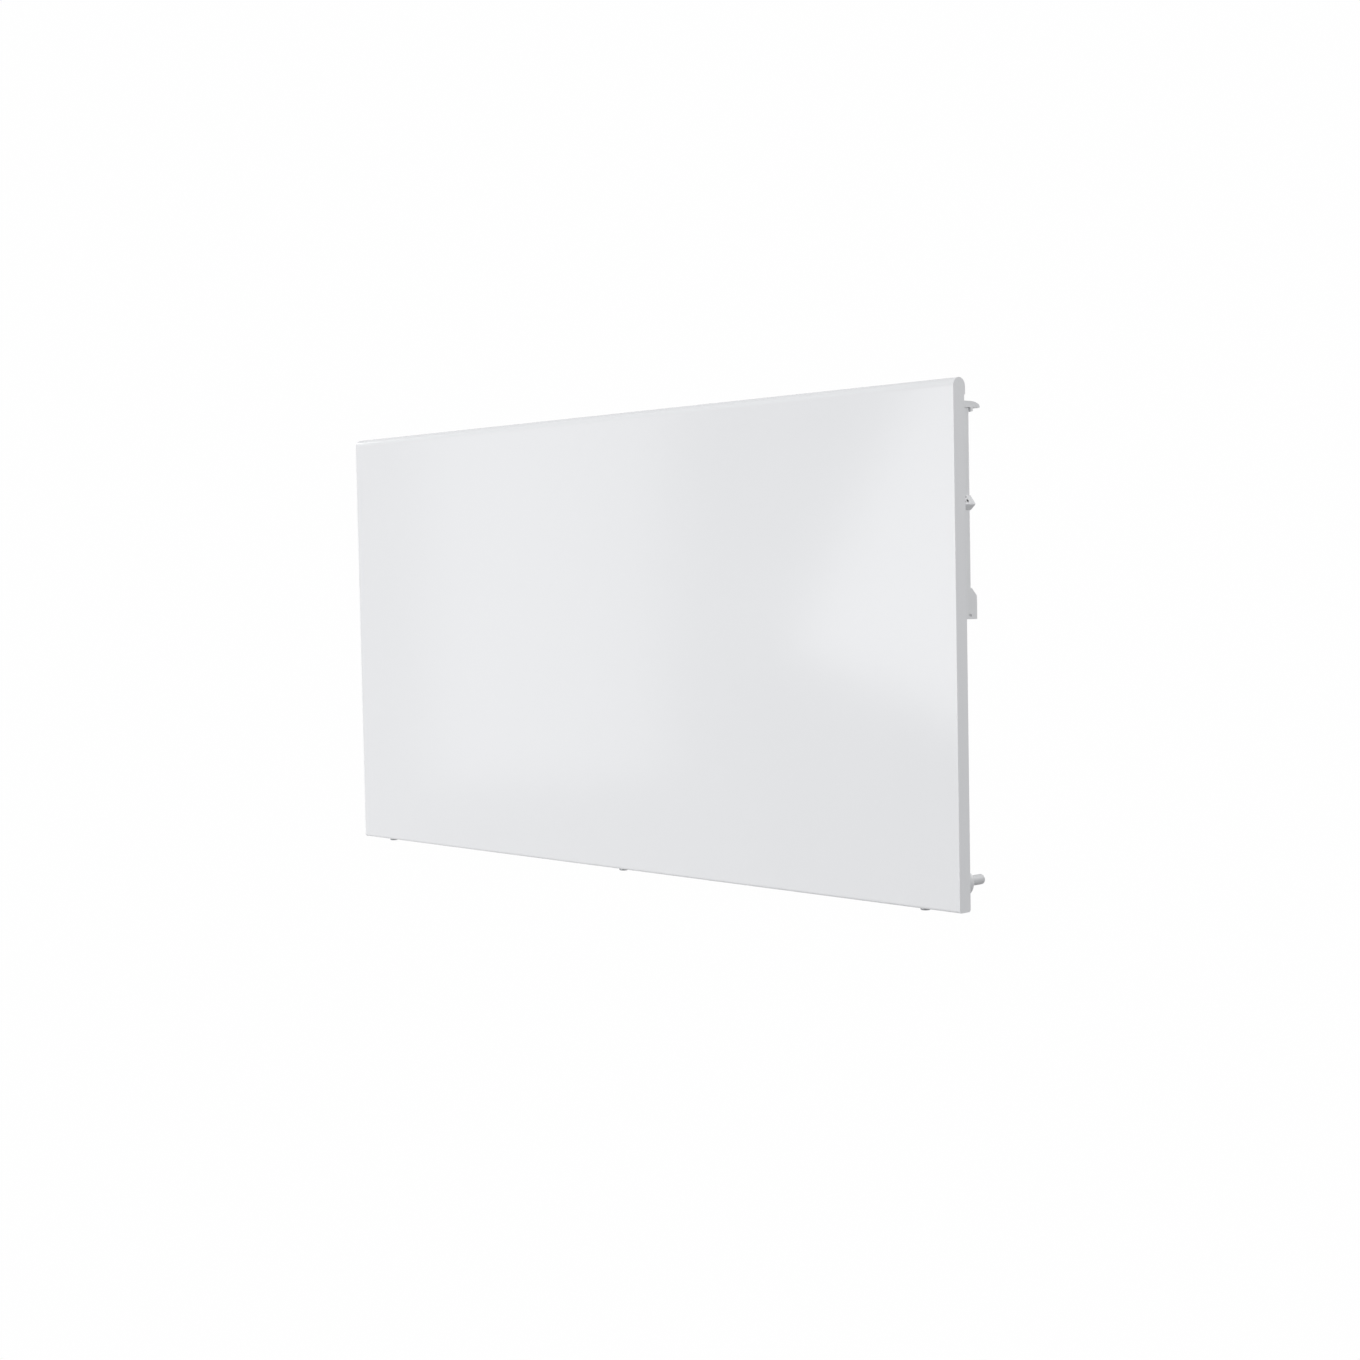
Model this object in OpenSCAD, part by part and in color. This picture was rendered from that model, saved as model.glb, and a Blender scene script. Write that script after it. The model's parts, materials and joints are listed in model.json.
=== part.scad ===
// Flat panel convector heater hung on a wall bracket, with its thermostat box at the upper right.
// x runs along the width, y from the room towards the wall, z up. The origin lies on the wall,
// in the middle of the bracket's four screw holes. Inside the modules y is counted from the
// panel's front face and z from its lower edge; hung() moves the whole heater to the origin.

/* [Front panel] */
// Width of the front panel
panel_w = 724; // [600:1:1000]
// Height of the front panel
panel_h = 370; // [350:1:450]
// Thickness of the panel's sheet steel
panel_sheet = 1; // [0.8:0.1:1.2]
// Depth of the panel's side and lower flanges
tray_depth = 11.4; // [10.6:0.1:12]
// Outer radius of the rolled upper edge
roll_r = 6.25; // [6.05:0.05:6.5]
// Height of the rolled edge, down to its rear lip
roll_h = 11.5; // [10:0.5:14]
// Outer radius of the bend along the lower edge
bend_r = 2; // [1.8:0.1:3]
// Outer radius of the two upright front edges
edge_r = 1.3; // [1.2:0.1:2]
// Radius of the side flanges' lower rear corners
flange_corner_r = 2; // [1:0.1:3]

/* [Rear casing] */
// Distance from the front face to the wall
total_depth = 78; // [76:0.5:84]
// Distance from the front face to the casing's rear wall
case_depth = 51.5; // [48:0.5:53]
// Thickness of the casing's sheet steel
case_sheet = 0.8; // [0.6:0.1:1]
// How far the casing's sides lie inside the panel's sides
case_inset = 36; // [30:1:60]
// Drop from the panel's upper edge to the casing's top wall
case_drop = 14; // [13:1:22]
// Height of the casing's lower part beside and under the thermostat box
case_shoulder_z = 112; // [90:1:150]
// Radius of the casing's upright rear edges
case_edge_r = 3; // [1.5:0.5:6]
// Depth at which the casing's rim stands inside the panel
rim_y = 8.7; // [7.8:0.1:8.8]
// Width of one air slot
slot_w = 3.6; // [3:0.1:3.9]
// Distance from one air slot to the next
slot_pitch = 7.4; // [6.5:0.1:12]
// Slots in one group, between two wider webs
slot_group = 12; // [6:1:20]
// Sheet left between an air slot and the casing's rear edge
slot_margin = 9; // [6:0.5:12]
// Radius of the pressed grooves across the rear wall
groove_r = 5; // [4:0.5:8]
// Depth of the pressed grooves
groove_depth = 2.5; // [1.5:0.5:3.5]

/* [Wall bracket] */
// Height of the bracket's middle above the panel's lower edge
bracket_z = 190; // [180:1:200]
// Distance between the screw holes along the wall
hole_span_x = 300; // [240:1:340]
// Distance between the upper and lower screw holes
hole_span_z = 200; // [160:1:220]
// Radius of the screw holes
wall_hole_r = 3; // [2.5:0.1:3.5]
// Width of one upright channel
leg_w = 28; // [24:1:36]
// Length of the channel past the screw holes
leg_over = 18; // [14:1:24]
// Thickness of the bracket's sheet steel
bracket_sheet = 1.5; // [1.2:0.1:2]
// Height of the two cross rails
rail_h = 26; // [20:1:30]
// Depth of the folded lips on the rails
rail_lip = 8; // [5:0.5:12]
// Height of a hook's neck
hook_neck = 8; // [6:0.5:10]
// Height of a hook's tongue above its neck
hook_tongue = 9; // [7:0.5:11]
// Width of the casing's hook slots
hook_slot_w = 3.8; // [3.4:0.1:3.9]
// Gap between a hook and the slot edge that hangs on it
hook_play = 0.3; // [0.2:0.1:0.5]

/* [Wall spacers] */
// Radius of a spacer's seat
spacer_disc_r = 10.9; // [8:0.1:11]
// Diameter of a spacer's peg
spacer_peg_d = 7.6; // [6:0.1:9]
// Distance of the pegs from the panel's sides
spacer_inset = 44.5; // [43:0.5:56]
// Height of the pegs above the panel's lower edge
spacer_z = 12; // [12:0.5:20]

/* [Heating element] */
// Distance from the casing's side walls to the ends of the finned profile
element_gap = 43; // [34:1:80]
// Gap between the wings' fins and the folds before and behind them
wing_gap = 0.5; // [0.3:0.1:3]
// Thickness of the wings at the rod
wing_t = 1.8; // [1.4:0.1:2.4]
// Diameter of the sheathed heating rod
rod_d = 8.2; // [6.5:0.1:8.5]
// Height of the rod above the panel's lower edge
element_z = 92; // [80:1:120]

/* [Thermostat box] */
// Distance of the box's outer side from the panel's side
box_inset = 42; // [40:1:60]
// Width of the box
box_w = 78; // [76:1:100]
// Height of the box with its lid
box_h = 157; // [150:1:170]
// Drop from the panel's upper edge to the lid's top
box_drop = 10.8; // [10.5:0.1:13]
// Depth from the front face to the box's rear
box_depth = 67.5; // [64:0.5:68]
// Wall thickness of the box
box_wall = 2.2; // [1.8:0.1:2.6]
// Radius of the box's upright rear edges
box_edge_r = 2; // [1:0.1:2.5]
// Depth from the front face to the rear of the cable hood
hood_depth = 74.5; // [71:0.5:75]
// Width of the cable hood
hood_w = 50; // [44:1:60]
// Height of the hood's straight lower part
hood_h = 15.5; // [10:0.5:18]
// Thickness of the lid
lid_h = 4.6; // [4:0.1:5]
// Width of the tongue on the lid
tongue_w = 15; // [10:0.5:18]
// How far the tongue stands out past the box's side
tongue_out = 0.8; // [0.4:0.1:1]
// Radius of the mains cable inlet
inlet_r = 4; // [3.5:0.1:4.2]

/* [Keys and switch] */
// Width of one key
key_w = 8.6; // [7:0.1:8.8]
// Depth of one key
key_d = 11; // [9:0.1:12]
// Distance from one key to the next
key_pitch = 11.4; // [11.2:0.1:12]
// Height of a key above the lid
key_rise = 0.8; // [0.6:0.1:1.2]
// Travel of a key
key_travel = 0.6; // [0.4:0.1:0.7]
// Half of the mains rocker's turn, in degrees
rocker_tilt = 10; // [6:1:10]

/* [Hidden] */

$fn = 48;
eps = 0.01;
fit = 0.3;
running = 0.05;
white = "#eceef0";
box_white = "#e6e8e9";
steel = "#b9bdc0";
zinc = "#a9adb0";
aluminium = "#c9cccf";
ceramic = "#e9e2d2";
black = "#1d1e20";
board_green = "#1f6b45";
board_t = 1.6;

// Panel and casing
half_w = panel_w / 2;
case_half = half_w - case_inset;
case_z0 = panel_sheet;
case_z1 = panel_h - case_drop;
case_back = case_depth - case_sheet;
rim_back = rim_y + case_sheet;
rim_half = half_w - panel_sheet - fit;
rim_z1 = panel_h - 8;
spacer_xs = [-half_w + spacer_inset, half_w - spacer_inset];
panel_screw_y = (bend_r + tray_depth) / 2 - 0.3;
panel_screw_inset = 37;
panel_screw_x = half_w - panel_screw_inset;
screw_r = 1.9;
screw_hole_r = screw_r + running;
panel_screw_l = 6;
box_screw_l = 14;
head_r = 3.7;
head_h = 1.6;
recess_w = 0.9;
recess_depth = 0.9;

// Thermostat box
box_x1 = half_w - box_inset;
box_x0 = box_x1 - box_w;
lid_z1 = panel_h - box_drop;
lid_z0 = lid_z1 - lid_h;
box_z0 = lid_z1 - box_h;
box_y0 = rim_back;
lid_y0 = 2 * roll_r + 0.5;
lid_skin = lid_h / 2;
base_y1 = box_y0 + 2;
hood_slope = hood_depth - box_depth;
hood_z1 = box_z0 + hood_h;
step_gap = 1.2;
case_step_x = box_x0 - step_gap;

// Bracket and hooks
leg_x = hole_span_x / 2;
leg_half_z = hole_span_z / 2 + leg_over;
bracket_y0 = case_depth + 0.8;
web_y0 = total_depth - bracket_sheet;
hook_tip_y = case_back - 3.4;
hook_gap = 0.6;
lift = hook_tongue + 0.5;
hook_above_hole = 8;
hook_below_hole = 24;
hook_zs = [
    bracket_z - hole_span_z / 2 + hook_above_hole,
    bracket_z + hole_span_z / 2 - hook_below_hole
];
hook_xs = [
    -leg_x - leg_w / 2, -leg_x + leg_w / 2 - bracket_sheet,
    leg_x - leg_w / 2, leg_x + leg_w / 2 - bracket_sheet
];

// Heating element
core_r = rod_d / 2 + 2.6;
shield_y = rim_back + 1.4;
shield_t = 0.6;
shield_under = 4;
shield_over = 60;
plate_t = 1.2;
plate_y0 = shield_y + shield_t;
element_y = (plate_y0 + case_back) / 2;
wing_turn = 62;
fin_l = 6;
wing_room = (case_back - plate_y0) / 2 - plate_t - wing_gap;
wing_reach = (wing_room - fin_l / 2 * sin(wing_turn)) / cos(wing_turn);
element_l = case_step_x + case_half - 2 * element_gap;
element_mid_x = (case_step_x - case_half) / 2;
element_x0 = element_mid_x - element_l / 2;
element_x1 = element_mid_x + element_l / 2;
plate_gap = 5;
bush_r = core_r + 1.4;
bush_bore_r = rod_d / 2 + running;
bush_over = 4;
collar_w = 2;
collar_t = 2;
plate_z0 = element_z - wing_reach * 0.9;
plate_z1 = element_z + wing_reach * 0.9;
foot_l = 18;
rod_over = 20;
rivet_r = 1.6;

// Inside the thermostat box
boss_r = 4;
boss_inset = 9;
boss_rise = 34;
boss_drop = 24;
boss_xs = [box_x0 + boss_inset, box_x1 - boss_inset];
boss_zs = [box_z0 + boss_rise, lid_z0 - boss_drop];
board_y = base_y1 + 5.5;
board_inset = 17;
board_rise = 26;
board_x0 = box_x0 + board_inset;
board_x1 = box_x1 - board_inset;
board_z0 = box_z0 + board_rise;
board_h = 96;
board_z1 = board_z0 + board_h;
parts_y = board_y + board_t;
terminal_z = board_z0 + 5;
terminal_h = 15;
terminal_d = 13;
relay_z = terminal_z + terminal_h + 8;
relay_size = [16, 15, 19];
module_size = [28, 20, 30];
module_z = relay_z + relay_size.z + 7;
display_drop = 12;
display_z = lid_z0 - display_drop;
display_y = (lid_y0 + box_depth) / 2;
display_half = 17;
window_w = 32;
window_d = 15;
window_t = 1.4;
window_inset = 21;
window_x = box_x0 + window_inset;
key_x0 = box_x1 - 6 - 2 * key_pitch - key_w / 2;
switch_top_z = display_z + board_t + 5;
lid_under = lid_z1 - lid_skin;
key_flange_t = 0.9;
inlet_x = box_x1 - hood_w / 2;
inlet_y = (box_depth + hood_depth) / 2 - 12;
bush_flange_r = inlet_r + 4.5;
grommet_y = 30;
grommet_drop = 60;
grommet_z = lid_z0 - grommet_drop;
grommet_r = 5;

// Sensor nose on the box's side
nose_rise = 78.5;
nose_z0 = box_z0 + nose_rise;
nose_h = 11;
nose_crest = 0.39;
nose_out = 4.6;
nose_reach = 17;
nose_y0 = box_depth - nose_reach;
nose_y1 = box_depth - 0.4;
nose_t = 1.1;

// Mains switch in the box's floor
switch_inset = 18;
switch_x = box_x0 + switch_inset;
switch_y = 40;
rocker_half = 8.4;
rocker_w = 10.6;
rocker_v = 2.2;
rocker_pin_r = 1;
cavity_half = rocker_half + 0.9;
cavity_w = rocker_w + 2 * fit;
frame_wall = 1.1;
frame_half_x = cavity_half + frame_wall;
frame_half_y = cavity_w / 2 + frame_wall;
bezel = 1.6;
bezel_t = 1.6;
pivot_z = box_z0 + 1.4;
frame_rise = 17;
frame_top = box_z0 + frame_rise;

// Whole heater moved so that the origin lies on the wall between the screw holes
module hung() {
    translate([0, -total_depth, -bracket_z]) children();
}

// Box given by two opposite corners
module span(low, high) {
    translate(low) cube(high - low);
}

// End profiles drawn as (y, z) and run along x
module along_x(x0, x1) {
    translate([x0, 0, 0]) rotate([90, 0, 90]) linear_extrude(x1 - x0) children();
}

// Front outlines drawn as (x, z) and run along y
module along_y(y0, y1) {
    translate([0, y1, 0]) rotate([90, 0, 0]) linear_extrude(y1 - y0) children();
}

module rod_x(r, x0, x1, y, z) {
    translate([x0, y, z]) rotate([0, 90, 0]) cylinder(r = r, h = x1 - x0);
}

module rod_y(r, y0, y1, x, z) {
    translate([x, y1, z]) rotate([90, 0, 0]) cylinder(r = r, h = y1 - y0);
}

module rod_z(r, z0, z1, x, y) {
    translate([x, y, z0]) cylinder(r = r, h = z1 - z0);
}

// Plan rectangle whose two rear corners are rounded
module rear_rounded(x0, x1, y0, y1, r) {
    translate([x0, y0]) square([x1 - x0, y1 - y0 - r]);
    translate([x0 + r, y0]) square([x1 - x0 - 2 * r, y1 - y0]);
    for (x = [x0 + r, x1 - r]) translate([x, y1 - r]) circle(r);
}

// Slot with round ends, lying along y in plan
module slot_plan(x, y0, y1, w) {
    translate([x - w / 2, y0 + w / 2]) square([w, y1 - y0 - w]);
    for (y = [y0 + w / 2, y1 - w / 2]) translate([x, y]) circle(w / 2, $fn = 24);
}

// Pan-head screw that points along +z, with its head below z = 0
module screw(l) {
    difference() {
        union() {
            translate([0, 0, -head_h]) cylinder(r1 = head_r - 0.7, r2 = head_r, h = 0.7);
            translate([0, 0, 0.7 - head_h]) cylinder(r = head_r, h = head_h - 0.7);
            cylinder(r = screw_r, h = l);
        }
        for (turn = [0, 90]) rotate(turn)
            translate([-head_r * 0.55, -recess_w / 2, -head_h - eps])
                cube([head_r * 1.1, recess_w, recess_depth]);
    }
}

// End view of the panel's skin, "inset" inside its outer surface
module panel_profile(inset, back) {
    bulb_back = 2 * roll_r - inset;
    translate([roll_r, panel_h - roll_r]) circle(roll_r - inset);
    translate([inset, panel_h - roll_h]) square([bulb_back - inset, roll_h - roll_r]);
    translate([inset, bend_r]) square([back - inset, panel_h - roll_r - bend_r]);
    translate([bend_r, inset]) square([back - bend_r, bend_r - inset + eps]);
    translate([bend_r, bend_r]) circle(bend_r - inset);
}

module front_panel() {
    color(white) difference() {
        intersection() {
            along_x(-half_w, half_w) panel_profile(0, tray_depth);
            translate([0, 2 * roll_r, -eps]) mirror([0, 1, 0]) linear_extrude(panel_h + 1)
                rear_rounded(-half_w, half_w, 0, 2 * roll_r, edge_r);
        }
        // hollow of the roll, closed behind by its lip
        along_x(-half_w + panel_sheet, half_w - panel_sheet)
            difference() {
                panel_profile(panel_sheet, tray_depth + 2 * roll_r);
                translate([2 * roll_r - panel_sheet, panel_h - roll_h]) square(3 * roll_r);
            }
        for (x = [-panel_screw_x, 0, panel_screw_x])
            rod_z(screw_hole_r + 0.2, -1, panel_sheet + 1, x, panel_screw_y);
        for (side = [-1, 1]) flange_corner_cut(side);
    }
}

// Rounds the lower rear corner of one side flange
module flange_corner_cut(side) {
    x0 = side > 0 ? half_w - panel_sheet - eps : -half_w - eps;
    along_x(x0, x0 + panel_sheet + 2 * eps) difference() {
        translate([tray_depth - flange_corner_r, -eps])
            square([flange_corner_r + eps, flange_corner_r + eps]);
        translate([tray_depth - flange_corner_r, flange_corner_r]) circle(flange_corner_r);
    }
}

module panel_screws() {
    color(steel)
        for (x = [-panel_screw_x, 0, panel_screw_x]) translate([x, panel_screw_y, 0]) screw(panel_screw_l);
}

// Front outline of the casing's box, which steps in beside the thermostat box
module case_outline(inset) {
    low = case_z0 + inset;
    translate([-case_half + inset, low])
        square([case_half + case_step_x - 2 * inset, case_z1 - inset - low]);
    translate([-case_half + inset, low])
        square([2 * (case_half - inset), case_shoulder_z - inset - low]);
}

// Shell of the casing, open towards the panel
module case_shell() {
    difference() {
        intersection() {
            along_y(rim_y, case_depth) case_outline(0);
            linear_extrude(panel_h) rear_rounded(-case_half, case_half, 0, case_depth, case_edge_r);
        }
        intersection() {
            along_y(0, case_back) case_outline(case_sheet);
            linear_extrude(panel_h) rear_rounded(
                -case_half + case_sheet, case_half - case_sheet, -1, case_back, case_edge_r - case_sheet
            );
        }
    }
}

// Flat rim that stands inside the panel, with the lip that the lower screws hold
module case_rim() {
    difference() {
        along_y(rim_y, rim_back) difference() {
            translate([-rim_half, case_z0]) square([2 * rim_half, rim_z1 - case_z0]);
            case_outline(case_sheet);
        }
        for (x = boss_xs, z = boss_zs) rod_y(screw_hole_r, 0, box_y0 + 1, x, z);
    }
    difference() {
        span([-rim_half, bend_r + fit, case_z0], [rim_half, rim_back, case_z0 + case_sheet]);
        for (x = [-panel_screw_x, 0, panel_screw_x])
            rod_z(screw_hole_r, 0, bend_r + 1, x, panel_screw_y);
    }
}

// One row of air slots in groups, between x0 and x1, cut through the sheet at height z
module air_slots(x0, x1, z) {
    count = floor((x1 - x0) / slot_pitch);
    start = (x0 + x1) / 2 - (count - 1) * slot_pitch / 2;
    translate([0, 0, z - 1]) linear_extrude(case_sheet + 2)
        for (i = [0 : count - 1])
            if (i % (slot_group + 1) != slot_group)
                slot_plan(start + i * slot_pitch, rim_back + 3, case_depth - slot_margin, slot_w);
}

// Groove with ball ends, pressed into the rear wall at height z; "skin" grows it to the outside
module groove(x0, x1, z, skin) {
    y = case_depth + groove_r - groove_depth;
    rod_x(groove_r + skin, x0, x1, y, z);
    for (x = [x0, x1]) translate([x, y, z]) sphere(groove_r + skin);
}

groove_spread = 32;
groove_zs = [bracket_z - groove_spread, bracket_z + groove_spread];
groove_inset = 40;
groove_x0 = -case_half + groove_inset;
groove_x1 = case_step_x - groove_inset;

slot_inset = 14;

module rear_casing() {
    slot_x0 = -case_half + slot_inset;
    slot_x1 = case_step_x - slot_inset;
    color(white) difference() {
        union() {
            case_shell();
            case_rim();
            intersection() {
                for (z = groove_zs) groove(groove_x0, groove_x1, z, case_sheet);
                span([-case_half, rim_back, 0], [case_half, case_depth, panel_h]);
            }
        }
        for (z = groove_zs) groove(groove_x0, groove_x1, z, 0);
        air_slots(slot_x0, slot_x1, case_z0);
        air_slots(slot_x0, slot_x1, case_z1 - case_sheet);
        for (x = hook_xs, z = hook_zs) hook_slot(x, z);
        for (x = spacer_xs) rod_y(spacer_peg_d / 2 + running, case_back - 1, case_depth + 1, x, spacer_z);
        for (x = rivet_xs, z = rivet_zs) rod_y(rivet_r + running, case_back - 1, case_depth + 1, x, z);
        rod_y(cutout_stud_r + running, case_back - 1, case_depth + 1, cutout_x, cutout_z);
        rod_x(grommet_r + running, case_step_x - case_sheet - 1, case_step_x + 1, grommet_y, grommet_z);
    }
}

// Upright slot that drops over one hook
module hook_slot(x, z) {
    mid = x + bracket_sheet / 2;
    span(
        [mid - hook_slot_w / 2, case_back - 1, z - lift - 0.8],
        [mid + hook_slot_w / 2, case_depth + 1, z + hook_neck + hook_play]
    );
}

// Side view of one channel wall, with its two hooks that reach into the casing
module leg_wall_profile() {
    taper = 10;
    low = bracket_z - leg_half_z;
    high = bracket_z + leg_half_z;
    polygon([
        [total_depth, low], [total_depth - 6, low], [bracket_y0, low + taper],
        [bracket_y0, high - taper], [total_depth - 6, high], [total_depth, high]
    ]);
    for (z = hook_zs) {
        translate([hook_tip_y, z]) square([bracket_y0 - hook_tip_y + 1, hook_neck]);
        polygon([
            [hook_tip_y, z + hook_neck - eps], [hook_tip_y + 0.6, z + hook_neck + hook_tongue],
            [case_back - hook_gap - 0.6, z + hook_neck + hook_tongue],
            [case_back - hook_gap, z + hook_neck - eps]
        ]);
    }
}

// Cross rail with folded lips, its middle at height z
module cross_rail(z) {
    inner = leg_x + leg_w / 2 - bracket_sheet;
    span([-inner, web_y0, z - rail_h / 2], [inner, total_depth, z + rail_h / 2]);
    for (low = [z - rail_h / 2, z + rail_h / 2 - bracket_sheet])
        span([-inner, total_depth - rail_lip, low], [inner, total_depth, low + bracket_sheet]);
}

module wall_bracket() {
    color(zinc) difference() {
        union() {
            for (x = hook_xs) along_x(x, x + bracket_sheet) leg_wall_profile();
            for (side = [-1, 1])
                span(
                    [side * leg_x - leg_w / 2, web_y0, bracket_z - leg_half_z],
                    [side * leg_x + leg_w / 2, total_depth, bracket_z + leg_half_z]
                );
            for (side = [-1, 1]) cross_rail(bracket_z + side * hole_span_z / 2);
        }
        for (x = [-leg_x, leg_x], side = [-1, 1])
            rod_y(wall_hole_r, web_y0 - 1, total_depth + 1, x, bracket_z + side * hole_span_z / 2);
    }
}

// Spacer turned about its peg: snap stub inside the casing, bell-shaped seat, then the peg to the wall
module wall_spacer(x) {
    peg_r = spacer_peg_d / 2;
    reach = total_depth - case_depth - 0.2;
    dome = peg_r * 0.47;
    seat_h = 5.4;
    translate([x, case_depth, spacer_z]) rotate([-90, 0, 0])
        rotate_extrude() {
            translate([0, -2.4]) square([peg_r, 2.4 + eps]);
            polygon([
                [0, 0], [spacer_disc_r, 0], [spacer_disc_r - 0.3, seat_h - 1.2],
                [spacer_disc_r - 1.4, seat_h], [peg_r + 1.4, seat_h + 0.6],
                [peg_r, seat_h + 2], [0, seat_h + 2]
            ]);
            square([peg_r, reach - dome]);
            square([peg_r - dome, reach]);
            translate([peg_r - dome, reach - dome]) circle(dome);
        }
}

module wall_spacer_left() {
    color(box_white) wall_spacer(spacer_xs[0]);
}

module wall_spacer_right() {
    color(box_white) wall_spacer(spacer_xs[1]);
}

// Aluminium extrusion round the rod: four finned wings
module element_profile() {
    fin_steps = 3;
    color(aluminium) along_x(element_x0, element_x1) translate([element_y, element_z]) difference() {
        union() {
            circle(core_r);
            for (turn = [wing_turn, 180 - wing_turn, 180 + wing_turn, -wing_turn]) rotate(turn) {
                translate([0, -wing_t / 2]) square([wing_reach, wing_t]);
                for (i = [1 : fin_steps])
                    translate([core_r + (wing_reach - core_r) * i / fin_steps - 1.2, -fin_l / 2])
                        square([1.2, fin_l]);
            }
        }
        circle(rod_d / 2 + running);
    }
}

module element_rod() {
    pin_r = 1.5;
    pin_l = 9;
    color(steel) {
        rod_x(rod_d / 2, element_x0 - rod_over, element_x1 + rod_over, element_y, element_z);
        rod_x(pin_r, element_x0 - rod_over - pin_l, element_x0 - rod_over + 1, element_y, element_z);
        rod_x(pin_r, element_x1 + rod_over - 1, element_x1 + rod_over + pin_l, element_y, element_z);
    }
}

plate_x = element_l / 2 + plate_gap;
rivet_zs = [plate_z0 + 8, plate_z1 - 8];
rivet_xs = [element_mid_x - plate_x + foot_l / 2, element_mid_x + plate_x - foot_l / 2];

// Plate across the casing that carries one end of the element; it is drawn for the left end
module element_plate() {
    difference() {
        union() {
            span([-plate_x - plate_t, plate_y0, plate_z0], [-plate_x, case_back, plate_z1]);
            span(
                [-plate_x - plate_t, case_back - plate_t, plate_z0],
                [-plate_x + foot_l, case_back, plate_z1]
            );
            span(
                [-plate_x - plate_t, plate_y0, plate_z0],
                [-plate_x + foot_l / 2, plate_y0 + plate_t, plate_z1]
            );
        }
        rod_x(bush_r + running, -plate_x - plate_t - 1, -plate_x + 1, element_y, element_z);
        for (z = rivet_zs)
            rod_y(rivet_r + running, case_back - plate_t - 1, case_back + 1, -plate_x + foot_l / 2, z);
    }
}

module element_bracket_left() {
    color(steel) translate([element_mid_x, 0, 0]) element_plate();
}

module element_bracket_right() {
    color(steel) translate([element_mid_x, 0, 0]) mirror([1, 0, 0]) element_plate();
}

// Ceramic bush round the rod's bare end, flanged on the element's side
module ceramic_bush() {
    difference() {
        union() {
            rod_x(bush_r, -plate_x - plate_t - bush_over, -plate_x + 0.1, element_y, element_z);
            rod_x(bush_r + collar_w, -plate_x, -plate_x + collar_t, element_y, element_z);
        }
        rod_x(
            bush_bore_r, -plate_x - plate_t - (bush_over + 1), -plate_x + (collar_t + 1),
            element_y, element_z
        );
    }
}

module ceramic_bushes() {
    color(ceramic) translate([element_mid_x, 0, 0]) {
        ceramic_bush();
        mirror([1, 0, 0]) ceramic_bush();
    }
}

module bracket_rivets() {
    head = 1;
    color(steel) for (x = rivet_xs, z = rivet_zs) {
        rod_y(rivet_r, case_back - plate_t - head, case_depth + head, x, z);
        rod_y(rivet_r + 1.3, case_back - plate_t - head, case_back - plate_t, x, z);
        rod_y(rivet_r + 1.3, case_depth, case_depth + head, x, z);
    }
}

// Thin reflector between the element and the panel
module heat_shield() {
    fold = 7;
    low = plate_z0 - shield_under;
    high = plate_z1 + shield_over;
    x0 = element_mid_x - plate_x - plate_t;
    x1 = element_mid_x + plate_x + plate_t;
    color(aluminium) {
        span([x0, shield_y, low], [x1, shield_y + shield_t, high]);
        for (z = [low, high - shield_t])
            span([x0, shield_y, z], [x1, shield_y + fold, z + shield_t]);
    }
}

cutout_inset = 100;
cutout_x = element_x1 - cutout_inset;
cutout_rise = 14;
cutout_z = plate_z1 + cutout_rise;
cutout_stud_r = 2;

// Overheat cut-out: a flanged disc with two tabs, on a stud through the rear wall
module thermal_cutout() {
    disc_r = 8;
    disc_h = 7;
    color(ceramic) {
        rod_y(disc_r + 2, case_back - 1, case_back, cutout_x, cutout_z);
        rod_y(disc_r, case_back - disc_h, case_back - 1 + eps, cutout_x, cutout_z);
        rod_y(cutout_stud_r, case_back - 1, case_depth + 1.2, cutout_x, cutout_z);
        rod_y(cutout_stud_r + 1.4, case_depth, case_depth + 1.2, cutout_x, cutout_z);
        for (side = [-1, 1])
            span(
                [cutout_x + side * 4 - 0.4, case_back - disc_h - 8, cutout_z - 3],
                [cutout_x + side * 4 + 0.4, case_back - disc_h + 1, cutout_z + 3]
            );
    }
}

function arc(c, r, a0, a1, steps) = [
    for (i = [0 : steps]) c + r * [cos(a0 + (a1 - a0) * i / steps), sin(a0 + (a1 - a0) * i / steps)]
];

// End view of the cable hood: straight wall, rounded shoulder, slope back to the box
module hood_profile(inset) {
    shoulder_r = 5;
    k = inset * tan(22.5);
    back = hood_depth - inset;
    top = hood_z1 - k;
    c = [back - shoulder_r, top - shoulder_r * tan(22.5)];
    polygon(concat(
        [[box_y0 + 4, box_z0 + inset], [back, box_z0 + inset]],
        arc(c, shoulder_r, 0, 45, 6),
        [[box_depth - inset, hood_z1 + hood_slope - k], [box_y0 + 4, hood_z1 + hood_slope - k]]
    ));
}

// Solid form of the box, "inset" inside its outer surface
module box_form(inset, front, top) {
    r = max(box_edge_r - inset, 0.2);
    linear_extrude(top - box_z0 - inset)
        rear_rounded(box_x0 + inset, box_x1 - inset, front, box_depth - inset, r);
}

module hood_form(inset) {
    r = max(box_edge_r - inset, 0.2);
    intersection() {
        along_x(box_x1 - hood_w + inset, box_x1 - inset) hood_profile(inset);
        linear_extrude(panel_h)
            rear_rounded(box_x1 - hood_w + inset, box_x1 - inset, 0, hood_depth - inset, r);
    }
}

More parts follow.
